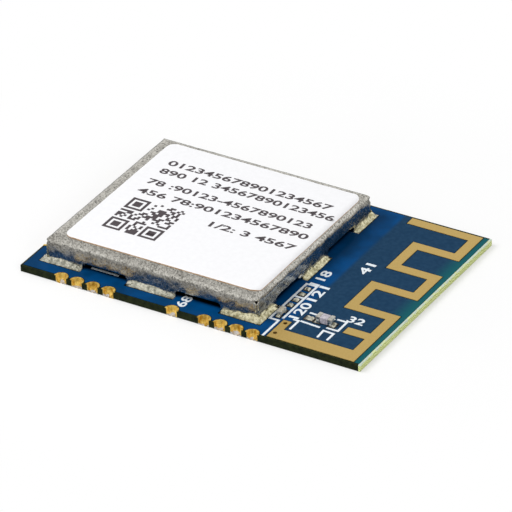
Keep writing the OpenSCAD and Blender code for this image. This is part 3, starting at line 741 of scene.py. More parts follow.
@dataclass
class Board:
    """Laminate, its masks, the lands and the printed lines.

    Attributes:
        digit_height: Height of the printed numbers in mm.
        digit_rise: Thickness of their ink in mm.
        bold: Widening of their strokes, as a share of the height.
        hole: Radius of the half-round contacts in mm.
        foot: Height of the metal against a barrel in mm.
        foot_inner: Distance of the foot's inner end from the hole's axis, as a share of the radius.
        foot_spread: Least and most height of a foot, as shares of its height.
        foot_uneven: Height of its ripple, as a share of its height.
        foot_wave: Wavelength of its ripple in mm.
    """

    digit_height: float = 0.62
    digit_rise: float = 0.012
    bold: float = 0.02
    hole: float = 0.3
    foot: float = 0.26
    foot_inner: float = 0.12
    foot_spread: tuple[float, float] = (0.8, 1.1)
    foot_uneven: float = 0.15
    foot_wave: float = 0.3

    def dress(self) -> None:
        """Dresses the board's own CAD nodes."""
        Finishes.LAMINATE.on("board")
        Finishes.MASK.on("top_mask", "bottom_mask")
        Finishes.ETCHED_GOLD.on("antenna_trace", "ground_paddle", "inner_lands")
        Finishes.SOLDER.on("shield_lands")
        Finishes.CONTACT.on("front_contacts", "back_contacts", "end_contacts")
        Finishes.WHITE_INK.on("silkscreen")

    def contact_feet(self) -> bpy.types.Object:
        """Builds the metal left in the foot of every half-round contact.

        Each is a scoop: its height over the underside grows with the square of the distance from
        the hole's axis, and is highest against the barrel.

        Returns:
            The feet as one piece.
        """
        surface = Surface.empty()
        rng = np.random.default_rng(3)
        share = np.linspace(0, 1, 9)
        for node, turn in (("front_contacts", 0), ("back_contacts", 2), ("end_contacts", -1)):
            for place in contact_axes(node, turn % 2 == 0):
                height = self.foot * rng.uniform(*self.foot_spread) * share ** 2
                reach = self.foot_inner + (1 - self.foot_inner) * share
                radius = self.hole * np.r_[reach, 1, self.foot_inner]
                rise = np.r_[height, 0, 0]
                angle = (np.linspace(0, np.pi, 17) + turn * np.pi / 2)[:, None]
                x, y = place[0] + radius * np.cos(angle), place[1] + radius * np.sin(angle)
                z = rise * (1 + self.foot_uneven * ripple(x, y, self.foot_wave, seed=8))
                loops = np.stack([x, y, z], -1)
                first, last = (np.broadcast_to(loop.mean(0), loop.shape)[None]
                               for loop in (loops[0], loops[-1]))
                surface.add_grid(np.concatenate([first, loops, last]), closed=True)
        return surface.build("contact_feet", [Finishes.CONTACT.value], "contact_gold",
                             weld=FINE_WELD, sharp=60.0)

    def place_numbers(self) -> bpy.types.Object:
        """Prints the plain numbers beside the small parts.

        Returns:
            The printed numbers as one piece.
        """
        top = box_mm("top_mask")[1][2]
        # Digits, middle along X and Y in mm, length in mm, turn in degrees.
        marks = [("118", 4.6, -0.72, 1.6, 90), ("121", 5.25, -2.2, 1.6, 90),
                 ("120", 5.3, -4.15, 1.7, 90), ("32", 8.5, -3.62, 1.0, 0),
                 ("41", 6.32, 1.3, 1.15, 90), ("68", -0.82, -6.35, 1.1, 90)]
        sheets = [printed_text(text, (x, y, top), (length, self.digit_height), turn,
                               self.digit_rise, self.bold)
                  for text, x, y, length, turn in marks]
        return joined_print("board_numbers", sheets, Finishes.WHITE_INK)


def contact_axes(node: str, along_x: bool, gap: float = 0.12) -> list[tuple[float, float]]:
    """Axes of the half-round contacts of a CAD node, on the board's edge.

    The contacts are parted where the node has no points for a while along the edge.

    Args:
        node: Name of the node.
        along_x: Whether the row runs along X.
        gap: Shortest stretch without points that parts two contacts, in mm.

    Returns:
        Place of each axis in mm.
    """
    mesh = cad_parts[node].data
    points = np.empty(len(mesh.vertices) * 3)
    mesh.vertices.foreach_get("co", points)
    points = points.reshape(-1, 3) / MM
    axis, across = (0, 1) if along_x else (1, 0)
    side = np.sign(points[:, across].mean())
    edge = side * np.abs(points[:, across]).max()
    places = np.unique(np.round(points[:, axis], 3))
    groups = np.split(places, np.flatnonzero(np.diff(places) > gap) + 1)
    middles = [(group[0] + group[-1]) / 2 for group in groups]
    return [(m, edge) if along_x else (edge, m) for m in middles]


def printed_text(text: str, centre: tuple[float, float, float], size: tuple[float, float],
                 turn: float, thickness: float, bold: float = 0.0) -> tuple[Array, list]:
    """Numbers from the built-in face, fitted to a place.

    Args:
        text: Digits and spaces.
        centre: Middle of the text's underside in mm.
        size: Length and height of the text in mm.
        turn: Turn about Z in degrees.
        thickness: Thickness of the ink in mm.
        bold: Widening of the strokes, as a share of the letter's height.

    Returns:
        Points in mm and faces.
    """
    curve = bpy.data.curves.new("ink", "FONT")
    curve.body = text
    curve.extrude = 0.5
    curve.offset = bold
    curve.resolution_u = 5
    holder = bpy.data.objects.new("ink", curve)
    bpy.context.scene.collection.objects.link(holder)
    bpy.context.view_layer.update()
    mesh = bpy.data.meshes.new_from_object(
        holder.evaluated_get(bpy.context.evaluated_depsgraph_get()))
    points = np.empty(len(mesh.vertices) * 3)
    mesh.vertices.foreach_get("co", points)
    points = points.reshape(-1, 3)
    faces = [tuple(face.vertices) for face in mesh.polygons]
    bpy.data.objects.remove(holder)
    bpy.data.curves.remove(curve)
    bpy.data.meshes.remove(mesh)
    low, high = points.min(0), points.max(0)
    points = (points - (low + high) / 2) / (high - low) * [size[0], size[1], thickness]
    a = math.radians(turn)
    spin = np.array([[math.cos(a), math.sin(a), 0], [-math.sin(a), math.cos(a), 0], [0, 0, 1]])
    return points @ spin + centre + np.array([0, 0, thickness / 2]), faces


def joined_print(name: str, sheets: list[tuple[Array, list]], finish: Finishes) -> bpy.types.Object:
    """Joins printed shapes into one piece.

    Args:
        name: Name of the piece.
        sheets: Points in mm and faces of each shape.
        finish: Finish of the ink.

    Returns:
        The new object, riding on the module.
    """
    points, faces, count = [], [], 0
    for part, part_faces in sheets:
        points.append(part)
        faces += [tuple(v + count for v in face) for face in part_faces]
        count += len(part)
    mesh = bpy.data.meshes.new(name)
    mesh.from_pydata((np.concatenate(points) * MM).tolist(), [], faces)
    mesh.materials.append(finish.value.material())
    obj = bpy.data.objects.new(name, mesh)
    bpy.context.scene.collection.objects.link(obj)
    mend_mesh(mesh, FINE_WELD, sharp=30.0)
    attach(obj, "root")
    return obj


@dataclass
class ShieldCan:
    """Folded can of tinned sheet, and the solder round its tabs.

    Attributes:
        sheet: Thickness of the sheet in mm.
        bend: Outer radius of the bend at the top in mm.
        notch_length: Length of a notch in mm.
        notch_height: Height of a notch in mm.
        notch_radius: Radius of its upper corners in mm.
        long_pitch: Spacing of the two notches in a long wall in mm.
        short_pitch: Spacing of the two notches in a short wall in mm.
        slit_width: Width of the slit at a corner in mm.
        slit_height: Height of the middle of its round end in mm.
        relief_radius: Radius of that round end in mm.
        dent: Depth of the dents in the walls in mm.
        dent_wave: Wavelength of the dents in mm.
        crinkle: Depth of the fine crinkle, as a share of the dents'.
        crinkle_wave: Wavelength of the crinkle in mm.
        sag: Depth of the hollows in the top in mm.
        sag_wave: Wavelength of the hollows in mm.
        step: Spacing of the points along a wall in mm.
        clear: Least spacing between them and a notch's own points, in mm.
        curl: How far a wall turns in at a slit, in mm.
        curl_length: Length of that turn along the wall in mm.
        curl_fade: Height over which it dies away above the slit's end, in mm.
        fillet_reach: Width of the solder on the land in mm.
        fillet_height: Height of the solder on the wall in mm.
        fillet_power: Middle power of the solder's section, under 1 for a full one.
        fillet_swing: How far that power wanders.
        fillet_depth: How far the solder runs into the wall, in mm.
        swell_length: Half length of the swelling at a corner in mm.
        lump: Height of the lumps in the solder in mm.
        lump_wave: Wavelength of the lumps in mm.
        pimple: Height of the fine lumps, as a share of the lumps'.
        pimple_wave: Wavelength of the fine lumps in mm.
        bead: Radius of the bead of solder in a slit in mm.
        bead_uneven: Unevenness of that radius, as a share of it.
    """

    sheet: float = 0.15
    bend: float = 0.55
    notch_length: float = 2.9
    notch_height: float = 0.42
    notch_radius: float = 0.2
    long_pitch: float = 6.05
    short_pitch: float = 5.65
    slit_width: float = 0.13
    slit_height: float = 1.12
    relief_radius: float = 0.12
    dent: float = 0.01
    dent_wave: float = 1.3
    crinkle: float = 0.35
    crinkle_wave: float = 0.35
    sag: float = 0.006
    sag_wave: float = 2.2
    step: float = 0.13
    clear: float = 0.03
    curl: float = 0.05
    curl_length: float = 0.16
    curl_fade: float = 0.2
    fillet_reach: float = 0.27
    fillet_height: float = 0.3
    fillet_power: float = 0.72
    fillet_swing: float = 0.16
    fillet_depth: float = 0.06
    swell_length: float = 0.3
    lump: float = 0.013
    lump_wave: float = 0.3
    pimple: float = 0.6
    pimple_wave: float = 0.12
    bead: float = 0.035
    bead_uneven: float = 0.3

    def __post_init__(self) -> None:
        """Reads the can's place and size from its CAD node."""
        low, high = box_mm("shield_can")
        self.middle = (low + high) / 2
        self.base = low[2]
        self.half = (high - low)[:2] / 2
        self.height = high[2] - low[2]

    def columns(self, half: float, pitch: float) -> Array:
        """Places along a wall, from -1 to 1, with pairs at the notches' ends.

        Args:
            half: Half the wall's length.
            pitch: Spacing of the wall's two notches.

        Returns:
            Sorted shares of the half length.
        """
        even = np.linspace(-half, half, int(2 * half / self.step) + 1)
        ends = [s * pitch / 2 + t * self.notch_length / 2 for s in (-1, 1) for t in (-1, 1)]
        sweep = self.notch_radius * (1 - np.cos(np.linspace(0, np.pi / 2, 5)))
        extra = [end + way * np.r_[-0.001, 0.001, sweep[1:]]
                 for end, way in zip(ends, (1, -1, 1, -1))]
        near = np.concatenate(extra)
        keep = np.abs(even[:, None] - near[None, :]).min(1) > self.clear
        return np.sort(np.concatenate([even[keep], near])) / half

    def lower_edge(self, along: Array, pitch: float) -> Array:
        """Height of a wall's lower edge: nought on a tab, and a round-cornered arch at a notch.

        Args:
            along: Places along the wall in mm.
            pitch: Spacing of the wall's two notches.

        Returns:
            Height of the edge at each place.
        """
        inside = self.notch_length / 2 - np.abs(np.abs(along) - pitch / 2)
        short = np.clip(self.notch_radius - inside, 0, self.notch_radius)
        arch = (self.notch_height - self.notch_radius
                + np.sqrt(self.notch_radius ** 2 - short ** 2))
        return np.where(inside > 0, arch, 0.0)

    def slit(self, z: Array) -> Array:
        """How far a wall stops short of the corner, for the slit and its round end.

        Args:
            z: Heights on the wall in mm.

        Returns:
            Distance from the corner in mm at each height.
        """
        hole = np.sqrt(np.clip(self.relief_radius ** 2 - (z - self.slit_height) ** 2, 0, None))
        straight = np.where(z < self.slit_height, self.slit_width / 2, 0.0)
        return np.maximum(hole, straight) * math.sqrt(2)

    def wall(self, share: Array, half: float, out: float, pitch: float, seed: int) -> Array:
        """One wall and its bend: rows climb from the lower edge, round the bend, to the top.

        Args:
            share: Places along the wall from -1 to 1.
            half: Half the wall's length.
            out: Distance of the wall from the can's middle.
            pitch: Spacing of the wall's two notches.
            seed: Seed of the dents.

        Returns:
            Grid of points as (along, outwards, up).
        """
        turn = np.linspace(0, np.pi / 2, 15)[1:, None]
        straight = self.height - self.bend
        lower = self.lower_edge(share * half, pitch)[None, :]
        climb = lower + np.linspace(0, 1, 11)[:, None] * (straight - lower)
        z = np.vstack([climb, straight + self.bend * np.sin(turn) + 0 * share])
        inset = np.vstack([0 * climb, self.bend * (1 - np.cos(turn)) + 0 * share])
        along = share * (half - inset) - np.sign(share) * self.slit(z) * np.abs(share) ** 24
        near = np.clip((np.abs(share) * half - half + self.curl_length) / self.curl_length, 0, 1)
        below = np.clip((self.slit_height + self.curl_fade - z) / self.curl_fade, 0, 1)
        curl = self.curl * near ** 2 * below
        fade = (1 - np.abs(share) ** 40) * np.clip(1 - inset / self.bend, 0, 1) ** 0.5
        dent = self.dent * fade * (
            ripple(along, z * 1.4, self.dent_wave, seed)
            + self.crinkle * ripple(along, z, self.crinkle_wave, seed + 50))
        return np.stack([along, out - inset + dent - self.dent * fade - curl, z], -1)

    def build(self) -> bpy.types.Object:
        """Builds the can's outer skin, then gives it the thickness of the sheet inwards.

        Returns:
            The can.
        """
        long = self.columns(self.half[0], self.long_pitch)
        short = self.columns(self.half[1], self.short_pitch)
        surface = Surface.empty()
        for number in range(4):
            share, half, out, pitch = (
                (long, self.half[0], self.half[1], self.long_pitch) if number % 2 == 0
                else (short, self.half[1], self.half[0], self.short_pitch))
            grid = self.wall(share, half, out, pitch, number + 3)
            turn = number * math.pi / 2
            x = grid[..., 0] * math.cos(turn) + grid[..., 1] * math.sin(turn)
            y = grid[..., 0] * math.sin(turn) - grid[..., 1] * math.cos(turn)
            surface.add_grid(np.stack([x, y, grid[..., 2]], -1) + self.origin())
        a, b = np.meshgrid(long, short, indexing="ij")
        x, y = a * (self.half[0] - self.bend), b * (self.half[1] - self.bend)
        fade = (1 - a ** 12) * (1 - b ** 12)
        z = self.height + self.sag * fade * (ripple(x, y, self.sag_wave, seed=11) - 1)
        surface.add_grid(np.stack([x, y, z], -1) + self.origin())
        obj = surface.build("can", [Finishes.CAN.value], "tinned_sheet")
        shell = obj.modifiers.new("sheet", "SOLIDIFY")
        shell.thickness = self.sheet * MM
        shell.offset = -1
        shell.use_even_offset = True
        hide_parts("shield_can")
        return obj

    def origin(self) -> Array:
        """Middle of the can on its lands, in mm."""
        return np.array([self.middle[0], self.middle[1], self.base])

    def solder_run(self, path: Array, facing: Array, seed: int, skew: float = 1.0,
                   swell: float = 0.0) -> Array:
        """Solder along a wall, closed to a point at both ends.

        The section runs from the wall down to the land as (1 - cos t, 1 - sin t) to a power that
        wanders between a hollow fillet and a full lump. Its height follows a long lens, which
        leans to the start where the skew is under 1.

        Args:
            path: Points along the wall's foot.
            facing: Outward direction at each point.
            seed: Seed of the lumps.
            skew: Power that leans the lens.
            swell: Extra height at the middle of the run, as a share.

        Returns:
            Grid of sections, closed round each section.
        """
        step = (np.linalg.norm(np.diff(path, axis=0), axis=1)
                + 0.12 * np.linalg.norm(np.diff(facing, axis=0), axis=1))
        run = np.r_[0, np.cumsum(step)]
        share, zero = run / run[-1], 0 * run
        lens = np.clip(1 - np.abs(2 * share ** skew - 1) ** 2.2, 0, 1) ** 0.6
        full = np.clip(1 - np.abs(2 * share - 1) ** 12, 0, 1) ** 0.5
        peak = 1 + swell * np.exp(-((run - run[-1] / 2) / self.swell_length) ** 2)
        high = self.fillet_height * lens * peak * (1 + 0.13 * ripple(run, zero, 1.0, seed))
        wide = self.fillet_reach * full * (1 + 0.06 * ripple(run, zero, 0.7, seed + 9))
        power = (self.fillet_power
                 + self.fillet_swing * ripple(run, zero, 0.8, seed + 17))[:, None]
        t = np.linspace(0, np.pi / 2, 15)[None, :]
        out = wide[:, None] * (1 - np.cos(t)) ** power
        up = high[:, None] * (1 - np.sin(t)) ** power
        along, around = run[:, None] + 0 * t, self.fillet_height * t
        lump = self.lump * full[:, None] * np.sin(2 * t) * (
            ripple(along, around, self.lump_wave, seed + 31)
            + self.pimple * ripple(along, around, self.pimple_wave, seed + 47))
        out, up = out + lump, up + lump
        back = -self.fillet_depth * full[:, None]
        out = np.hstack([back, back, out])
        up = np.hstack([0 * back, up[:, :1], up])
        plan = path[:, None, :] + facing[:, None, :] * out[..., None]
        return np.concatenate([plan, np.clip(up, 0, None)[..., None]], -1)

    def middle_runs(self, count: int = 90) -> list[tuple[Array, Array]]:
        """Paths along the middle tab of each wall.

        Args:
            count: Number of points on a path.

        Returns:
            Path and outward directions of each tab, from the can's middle in mm.
        """
        runs = []
        for half, out, pitch, turned in ((self.half[0], self.half[1], self.long_pitch, False),
                                         (self.half[1], self.half[0], self.short_pitch, True)):
            reach = (pitch - self.notch_length) / 2
            for way in (-1, 1):
                path = np.stack([np.linspace(-reach, reach, count),
                                 np.full(count, way * out)], -1)
                facing = np.tile([0.0, float(way)], (count, 1))
                runs.append((path[:, ::-1], facing[:, ::-1]) if turned else (path, facing))
        return runs

    def corner_runs(self, sx: int, sy: int,
                    count: int = 80) -> tuple[tuple[Array, Array], tuple[Array, Array]]:
        """Paths along the two arms of a corner tab, both from the corner.

        Args:
            sx: Side of the corner along X, -1 or 1.
            sy: Side of the corner along Y, -1 or 1.
            count: Number of points on a path.

        Returns:
            Path and outward directions of the arm along X, then of the arm along Y.
        """
        arm = self.half - (np.array([self.long_pitch, self.short_pitch]) + self.notch_length) / 2
        corner = np.array([sx, sy]) * self.half
        line = np.linspace(0, 1, count)
        along_x = corner - np.outer(line, [sx * arm[0], 0])
        along_y = corner - np.outer(line, [0, sy * arm[1]])
        return ((along_x, np.tile([0.0, float(sy)], (count, 1))),
                (along_y, np.tile([float(sx), 0.0], (count, 1))))

    def bead_up(self, foot: tuple[float, float], seed: int) -> Array:
        """Bead of solder drawn up one edge of a corner slit, thinner towards the top.

        Args:
            foot: Place of the edge from the can's middle.
            seed: Seed of the bead's unevenness.

        Returns:
            Grid of rings that climb the edge, closed to a point at the top.
        """
        z = np.linspace(0.05, self.slit_height - 0.1, 40)[:, None]
        turn = np.linspace(0, 2 * np.pi, 10, endpoint=False)[None, :]
        radius = self.bead * np.sqrt(1 - (z / self.slit_height) ** 2) * (
            1 + self.bead_uneven * ripple(z, 0 * z, self.lump_wave, seed))
        radius[-1] = 0
        return np.stack([foot[0] + radius * np.cos(turn), foot[1] + radius * np.sin(turn),
                         z + 0 * turn], -1)

    def build_solder(self) -> bpy.types.Object:
        """Builds the solder of the middle tabs, the corner tabs and the corner slits.

        A corner at the closed end has two separate runs. At the other two corners the runs join
        round the corner and swell there.

        Returns:
            The solder as one piece, plain or with a painted gold reflection.
        """
        surface = Surface.empty()
        seed = 100
        # Finish 1 carries a painted reflection of gold: on the middle run facing +X, the joined
        # corners at +X and every slit bead.
        for path, facing in self.middle_runs():
            seed += 5
            surface.add_grid(self.solder_run(path, facing, seed, 0.75) + self.origin(), True,
                             int(facing[0, 0] > 0))
        for sx in (-1, 1):
            for sy in (-1, 1):
                (path_x, facing_x), (path_y, facing_y) = self.corner_runs(sx, sy)
                seed += 5
                if sx < 0:
                    for path, facing in ((path_x, facing_x), (path_y, facing_y)):
                        surface.add_grid(self.solder_run(path, facing, seed, 0.7)
                                         + self.origin(), True)
                else:
                    turn = np.linspace(0, np.pi / 2, 16)[1:-1]
                    fan = np.stack([sx * np.sin(turn), sy * np.cos(turn)], -1)
                    path = np.concatenate([path_x[::-1], np.tile(path_x[0], (14, 1)), path_y])
                    facing = np.concatenate([facing_x, fan, facing_y])
                    surface.add_grid(self.solder_run(path, facing, seed, 1.0, 0.35)
                                     + self.origin(), True, 1)
                ends = np.array([sx, sy]) * (self.half - self.curl / 2)
                gap = (self.slit_width / 2 + 0.01) * math.sqrt(2)
                for number, inwards in enumerate(([sx * gap, 0], [0, sy * gap])):
                    surface.add_grid(self.bead_up(tuple(ends - inwards), seed + number)
                                     + self.origin(), True, 1)
        obj = surface.build("can_solder", [Finishes.SOLDER.value, Finishes.SOLDER_GOLD_REFLECTION.value],
                            "solder", weld=FINE_WELD, sharp=70.0)
        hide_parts("shield_solder")
        return obj


@dataclass
class Label:
    """White film on the can, lapped a little over its bend, and its print of plain numbers.

    Attributes:
        can: The can that carries the label.
        thickness: Thickness of the film in mm.
        radius: Radius of its corners in mm.
        press: How far its rim is pressed down, in mm.
        press_wave: Wavelength at which that changes, in mm.
        row_height: Height of a row of digits in mm.
        ink: Thickness of the print in mm.
        bold: Widening of the strokes, as a share of the height.
        code_size: Side of the square code in mm.
        code_cells: Number of cells along a side.
        code_centre: Middle of the code in mm.
        code_seed: Seed of its cells.
    """

    can: ShieldCan
    thickness: float = 0.06
    radius: float = 0.5
    press: float = 0.006
    press_wave: float = 2.0
    row_height: float = 0.56
    ink: float = 0.01
    bold: float = 0.02
    code_size: float = 3.46
    code_cells: int = 21
    code_centre: tuple[float, float] = (-5.87, -2.245)
    code_seed: int = 7

    def __post_init__(self) -> None:
        """Reads the label's place and size from its CAD node."""
        self.low, self.high = box_mm("label")
        self.top = self.high[2]

    def drop(self, x: Array, y: Array) -> Array:
        """How far the can's top has fallen away round its bends.

        Args:
            x: Places along X in mm.
            y: Places along Y in mm.

        Returns:
            Depth under the can's top in mm at each place.
        """
        flat = self.can.half - self.can.bend
        over = [np.clip(np.abs(v - m) - f, 0, self.can.bend * 0.999)
                for v, m, f in zip((x, y), self.can.middle, flat)]
        falls = [self.can.bend - np.sqrt(self.can.bend ** 2 - o ** 2) for o in over]
        return np.maximum(*falls)

    def outline(self, steps: int = 9, spacing: float = 0.25) -> Array:
        """Rounded rectangle of the label.

        Args:
            steps: Points on each corner.
            spacing: Widest spacing of the points in mm.

        Returns:
            Points round the label in plan.
        """
        middle, half = (self.low + self.high)[:2] / 2, (self.high - self.low)[:2] / 2
        arcs = []
        for number, (sx, sy) in enumerate([(1, 1), (-1, 1), (-1, -1), (1, -1)]):
            a = np.linspace(0, np.pi / 2, steps) + number * np.pi / 2
            core = middle + np.array([sx, sy]) * (half - self.radius)
            arc = core + self.radius * np.stack([np.cos(a), np.sin(a)], -1)
            arcs.append(arc)
        loop = np.concatenate(arcs + [arcs[0][:1]])
        sides = [np.linspace(a, b, max(1, int(np.linalg.norm(b - a) / spacing)), endpoint=False)
                 for a, b in zip(loop[:-1], loop[1:])]
        return np.concatenate(sides)

    def build(self) -> bpy.types.Object:
        """Builds the film as rings shrunk towards its middle, top and underside, and its edge.

        The rings crowd towards the rim, where the film bends with the can.

        Returns:
            The film.
        """
        edge = self.outline()
        middle = (self.low + self.high)[:2] / 2
        share = np.r_[0, 0.3, 0.6, 0.8, 0.88, np.linspace(0.93, 1, 12)][:, None, None]
        plan = middle + share * (edge - middle)[None]
        lie = self.top - self.thickness - self.drop(plan[..., 0], plan[..., 1])
        pressed = self.press * share[..., 0] ** 20 * (
            1 + ripple(plan[..., 0], plan[..., 1], self.press_wave, seed=5))
        upper = np.concatenate([plan, (lie + self.thickness - pressed)[..., None]], -1)
        lower = np.concatenate([plan, lie[..., None]], -1)
        surface = Surface.empty()
        surface.add_grid(upper, closed=True)
        surface.add_grid(np.stack([upper[-1], lower[-1]]), closed=True, finish=1)
        surface.add_grid(lower, closed=True)
        obj = surface.build("label_film", [Finishes.LABEL.value, Finishes.LABEL_EDGE.value],
                            "label_film", sharp=50.0)
        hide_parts("label")
        return obj

    def code_dark(self) -> Array:
        """Dark cells of the square code, which holds no message.

        A cell is dark where a seeded draw says so. Three corners hold a ring round a solid square
        with a clear border, as such codes have.

        Returns:
            Whether each cell is dark, row by row from the front.
        """
        cells = self.code_cells
        dark = np.random.default_rng(self.code_seed).random((cells, cells)) < 0.5
        ring = np.maximum(*np.abs(np.mgrid[-3:5, -3:5]))
        finder = (ring <= 1) | (ring == 3)
        dark[:8, :8] = finder
        dark[:8, -8:] = finder[:, ::-1]
        dark[-8:, :8] = finder[::-1]
        return dark

    def print(self) -> bpy.types.Object:
        """Prints five rows of running digits and the square code.

        Returns:
            The print as one piece.
        """
        # Digits, both ends along X in mm, middle along Y in mm.
        rows = [("012345678901234567", -7.88, 2.77, 3.66),
                ("890 12 34567890123456", -7.86, 3.45, 2.71),
                ("78 :90123-4567890123", -7.89, 2.76, 1.43),
                ("456 78:901234567890", -7.86, 3.16, 0.34),
                ("1/2: 3 4567", -2.37, 3.1, -0.96)]
        sheets = [printed_text(text, ((start + end) / 2, level, self.top),
                               (end - start, self.row_height), 0, self.ink, self.bold)
                  for text, start, end, level in rows]
        sheets.append(self.code_blocks())
        obj = joined_print("label_numbers", sheets, Finishes.PRINT)
        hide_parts("label_print")
        return obj

    def code_blocks(self) -> tuple[Array, list]:
        """Flat blocks of the square code, one for each run of dark cells in a row.

        Returns:
            Points in mm and faces.
        """
        dark = self.code_dark()
        side = self.code_size / self.code_cells
        step = np.diff(np.pad(dark.astype(int), ((0, 0), (1, 1))), axis=1)
        (row, first), last = np.nonzero(step == 1), np.nonzero(step == -1)[1]
        corner = np.array([[0, 0, 0], [1, 0, 0], [1, 1, 0], [0, 1, 0],
                           [0, 0, 1], [1, 0, 1], [1, 1, 1], [0, 1, 1]], float)
        start = np.stack([first * side, row * side, 0 * row], -1)[:, None]
        size = np.stack([(last - first) * side, 0 * row + side, 0 * row + self.ink], -1)[:, None]
        shift = np.array([self.code_centre[0] - self.code_size / 2,
                          self.code_centre[1] - self.code_size / 2, self.top])
        points = (start + corner * size + shift).reshape(-1, 3)
        block = np.array([[3, 2, 1, 0], [4, 5, 6, 7], [0, 1, 5, 4], [1, 2, 6, 5], [2, 3, 7, 6],
                          [3, 0, 4, 7]])
        faces = (block[None] + 8 * np.arange(len(row))[:, None, None]).reshape(-1, 4)
        return points, [tuple(face) for face in faces.tolist()]


@dataclass
class SmallParts:
    """Lands, chips and solder that lie open beside the can.

    Attributes:
        rounding: Radius of the blocks' edges in mm.
        spread: Size of a tin dome, as a share of its land.
        dome: Height of a dome in mm.
    """

    rounding: float = 0.05
    spread: float = 0.84
    dome: float = 0.1

    def block(self, name: str, node: str, finish: Finishes, slot: str,
              parts: list[tuple[Array, Array]]) -> bpy.types.Object:
        """Builds rounded blocks in place of a CAD node.

        Args:
            name: Name of the piece.
            node: CAD node that it replaces.
            finish: Finish of the blocks.
            slot: The record's material slot.
            parts: Lowest and highest corner of each block.

        Returns:
            The new object.
        """
        grids = []
        for low, high in parts:
            grids += rounded_block(tuple((low + high) / 2), tuple(high - low), self.rounding)
        obj = new_surface(grids).build(name, [finish.value], slot)
        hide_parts(node)
        return obj

    def build(self) -> list[bpy.types.Object]:
        """Builds the link, the fitted capacitor, their ends and the tin on every land.

        Returns:
            The pieces in the order in which they were built.
        """
        pieces = []
        for body, ends, along, finish, slot in (
                ("link_resistor", "link_terminals", 0, Finishes.LINK, "link_ceramic"),
                ("matching_capacitor", "matching_terminals", 1, Finishes.CAPACITOR,
                 "capacitor_ceramic")):
            low, high = box_mm(body)
            pieces.append(self.block(body + "_body", body, finish, slot, [(low, high)]))
            outer_low, outer_high = box_mm(ends)
            first_high, last_low = outer_high.copy(), outer_low.copy()
            first_high[along], last_low[along] = low[along], high[along]
            pieces.append(self.block(ends + "_caps", ends, Finishes.TERMINAL, "tinned_terminal",
                                     [(outer_low, first_high), (last_low, outer_high)]))
        return pieces + [self.build_tin()]

    def build_tin(self) -> bpy.types.Object:
        """Builds a frozen dome on each land that the CAD model tins.

        Returns:
            The domes as one piece.
        """
        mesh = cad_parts["tinned_lands"].data
        points = np.empty(len(mesh.vertices) * 3)
        mesh.vertices.foreach_get("co", points)
        lands = np.unique(np.round(points.reshape(-1, 3) / MM, 4), axis=0)
        top = lands[:, 2].max()
        plan = lands[lands[:, 2] == top][:, :2]
        surface = Surface.empty()
        for seed, group in enumerate(group_corners(plan)):
            low, high = group.min(0), group.max(0)
            surface.add_grid(tin_dome(tuple((low + high) / 2), tuple((high - low) * self.spread),
                                      top, self.dome, seed + 40), closed=True)
        obj = surface.build("land_tin", [Finishes.SOLDER.value], "solder", weld=FINE_WELD,
                            sharp=80.0)
        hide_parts("outer_solder")
        Finishes.DARK_LAND.on("tinned_lands")
        return obj


def group_corners(plan: Array, reach: float = 0.7) -> list[Array]:
    """Groups the corners of separate rectangles, four to each.

    Args:
        plan: Corners in plan.
        reach: Longest side of a rectangle in mm.

    Returns:
        Corners of each rectangle.
    """
    left, groups = plan.tolist(), []
    while left:
        x, y = left[0]
        mates_x = [p for p in left if p[1] == y and 0 < p[0] - x <= reach]
        mates_y = [p for p in left if p[0] == x and 0 < p[1] - y <= reach]
        far_x, far_y = min(mates_x)[0], min(mates_y, key=lambda p: p[1])[1]
        group = [[x, y], [far_x, y], [x, far_y], [far_x, far_y]]
        groups.append(np.array(group))
        left = [p for p in left if p not in group]
    return groups


@dataclass
class InnerCircuit:
    """Parts inside the can, which show only through its notches."""

    def dress(self) -> None:
        """Dresses the CAD nodes inside the can."""
        Finishes.CHIP.on("radio_chip")
        Finishes.TERMINAL.on("chip_terminals", "inductor_terminals", "capacitor_terminals",
                             "resistor_terminals", "filter_terminals")
        Finishes.DARK_CERAMIC.on("crystal_base")
        Finishes.LID.on("crystal_lid")
        Finishes.ETCHED_GOLD.on("crystal_terminals")
        Finishes.FERRITE.on("power_inductor")
        Finishes.CAPACITOR.on("decoupling_capacitors")
        Finishes.GLAZE.on("small_resistors")
        Finishes.PALE_CERAMIC.on("rf_filter")
        Finishes.SOLDER.on("inner_solder")


# ---------------------------------------------------------------- studio

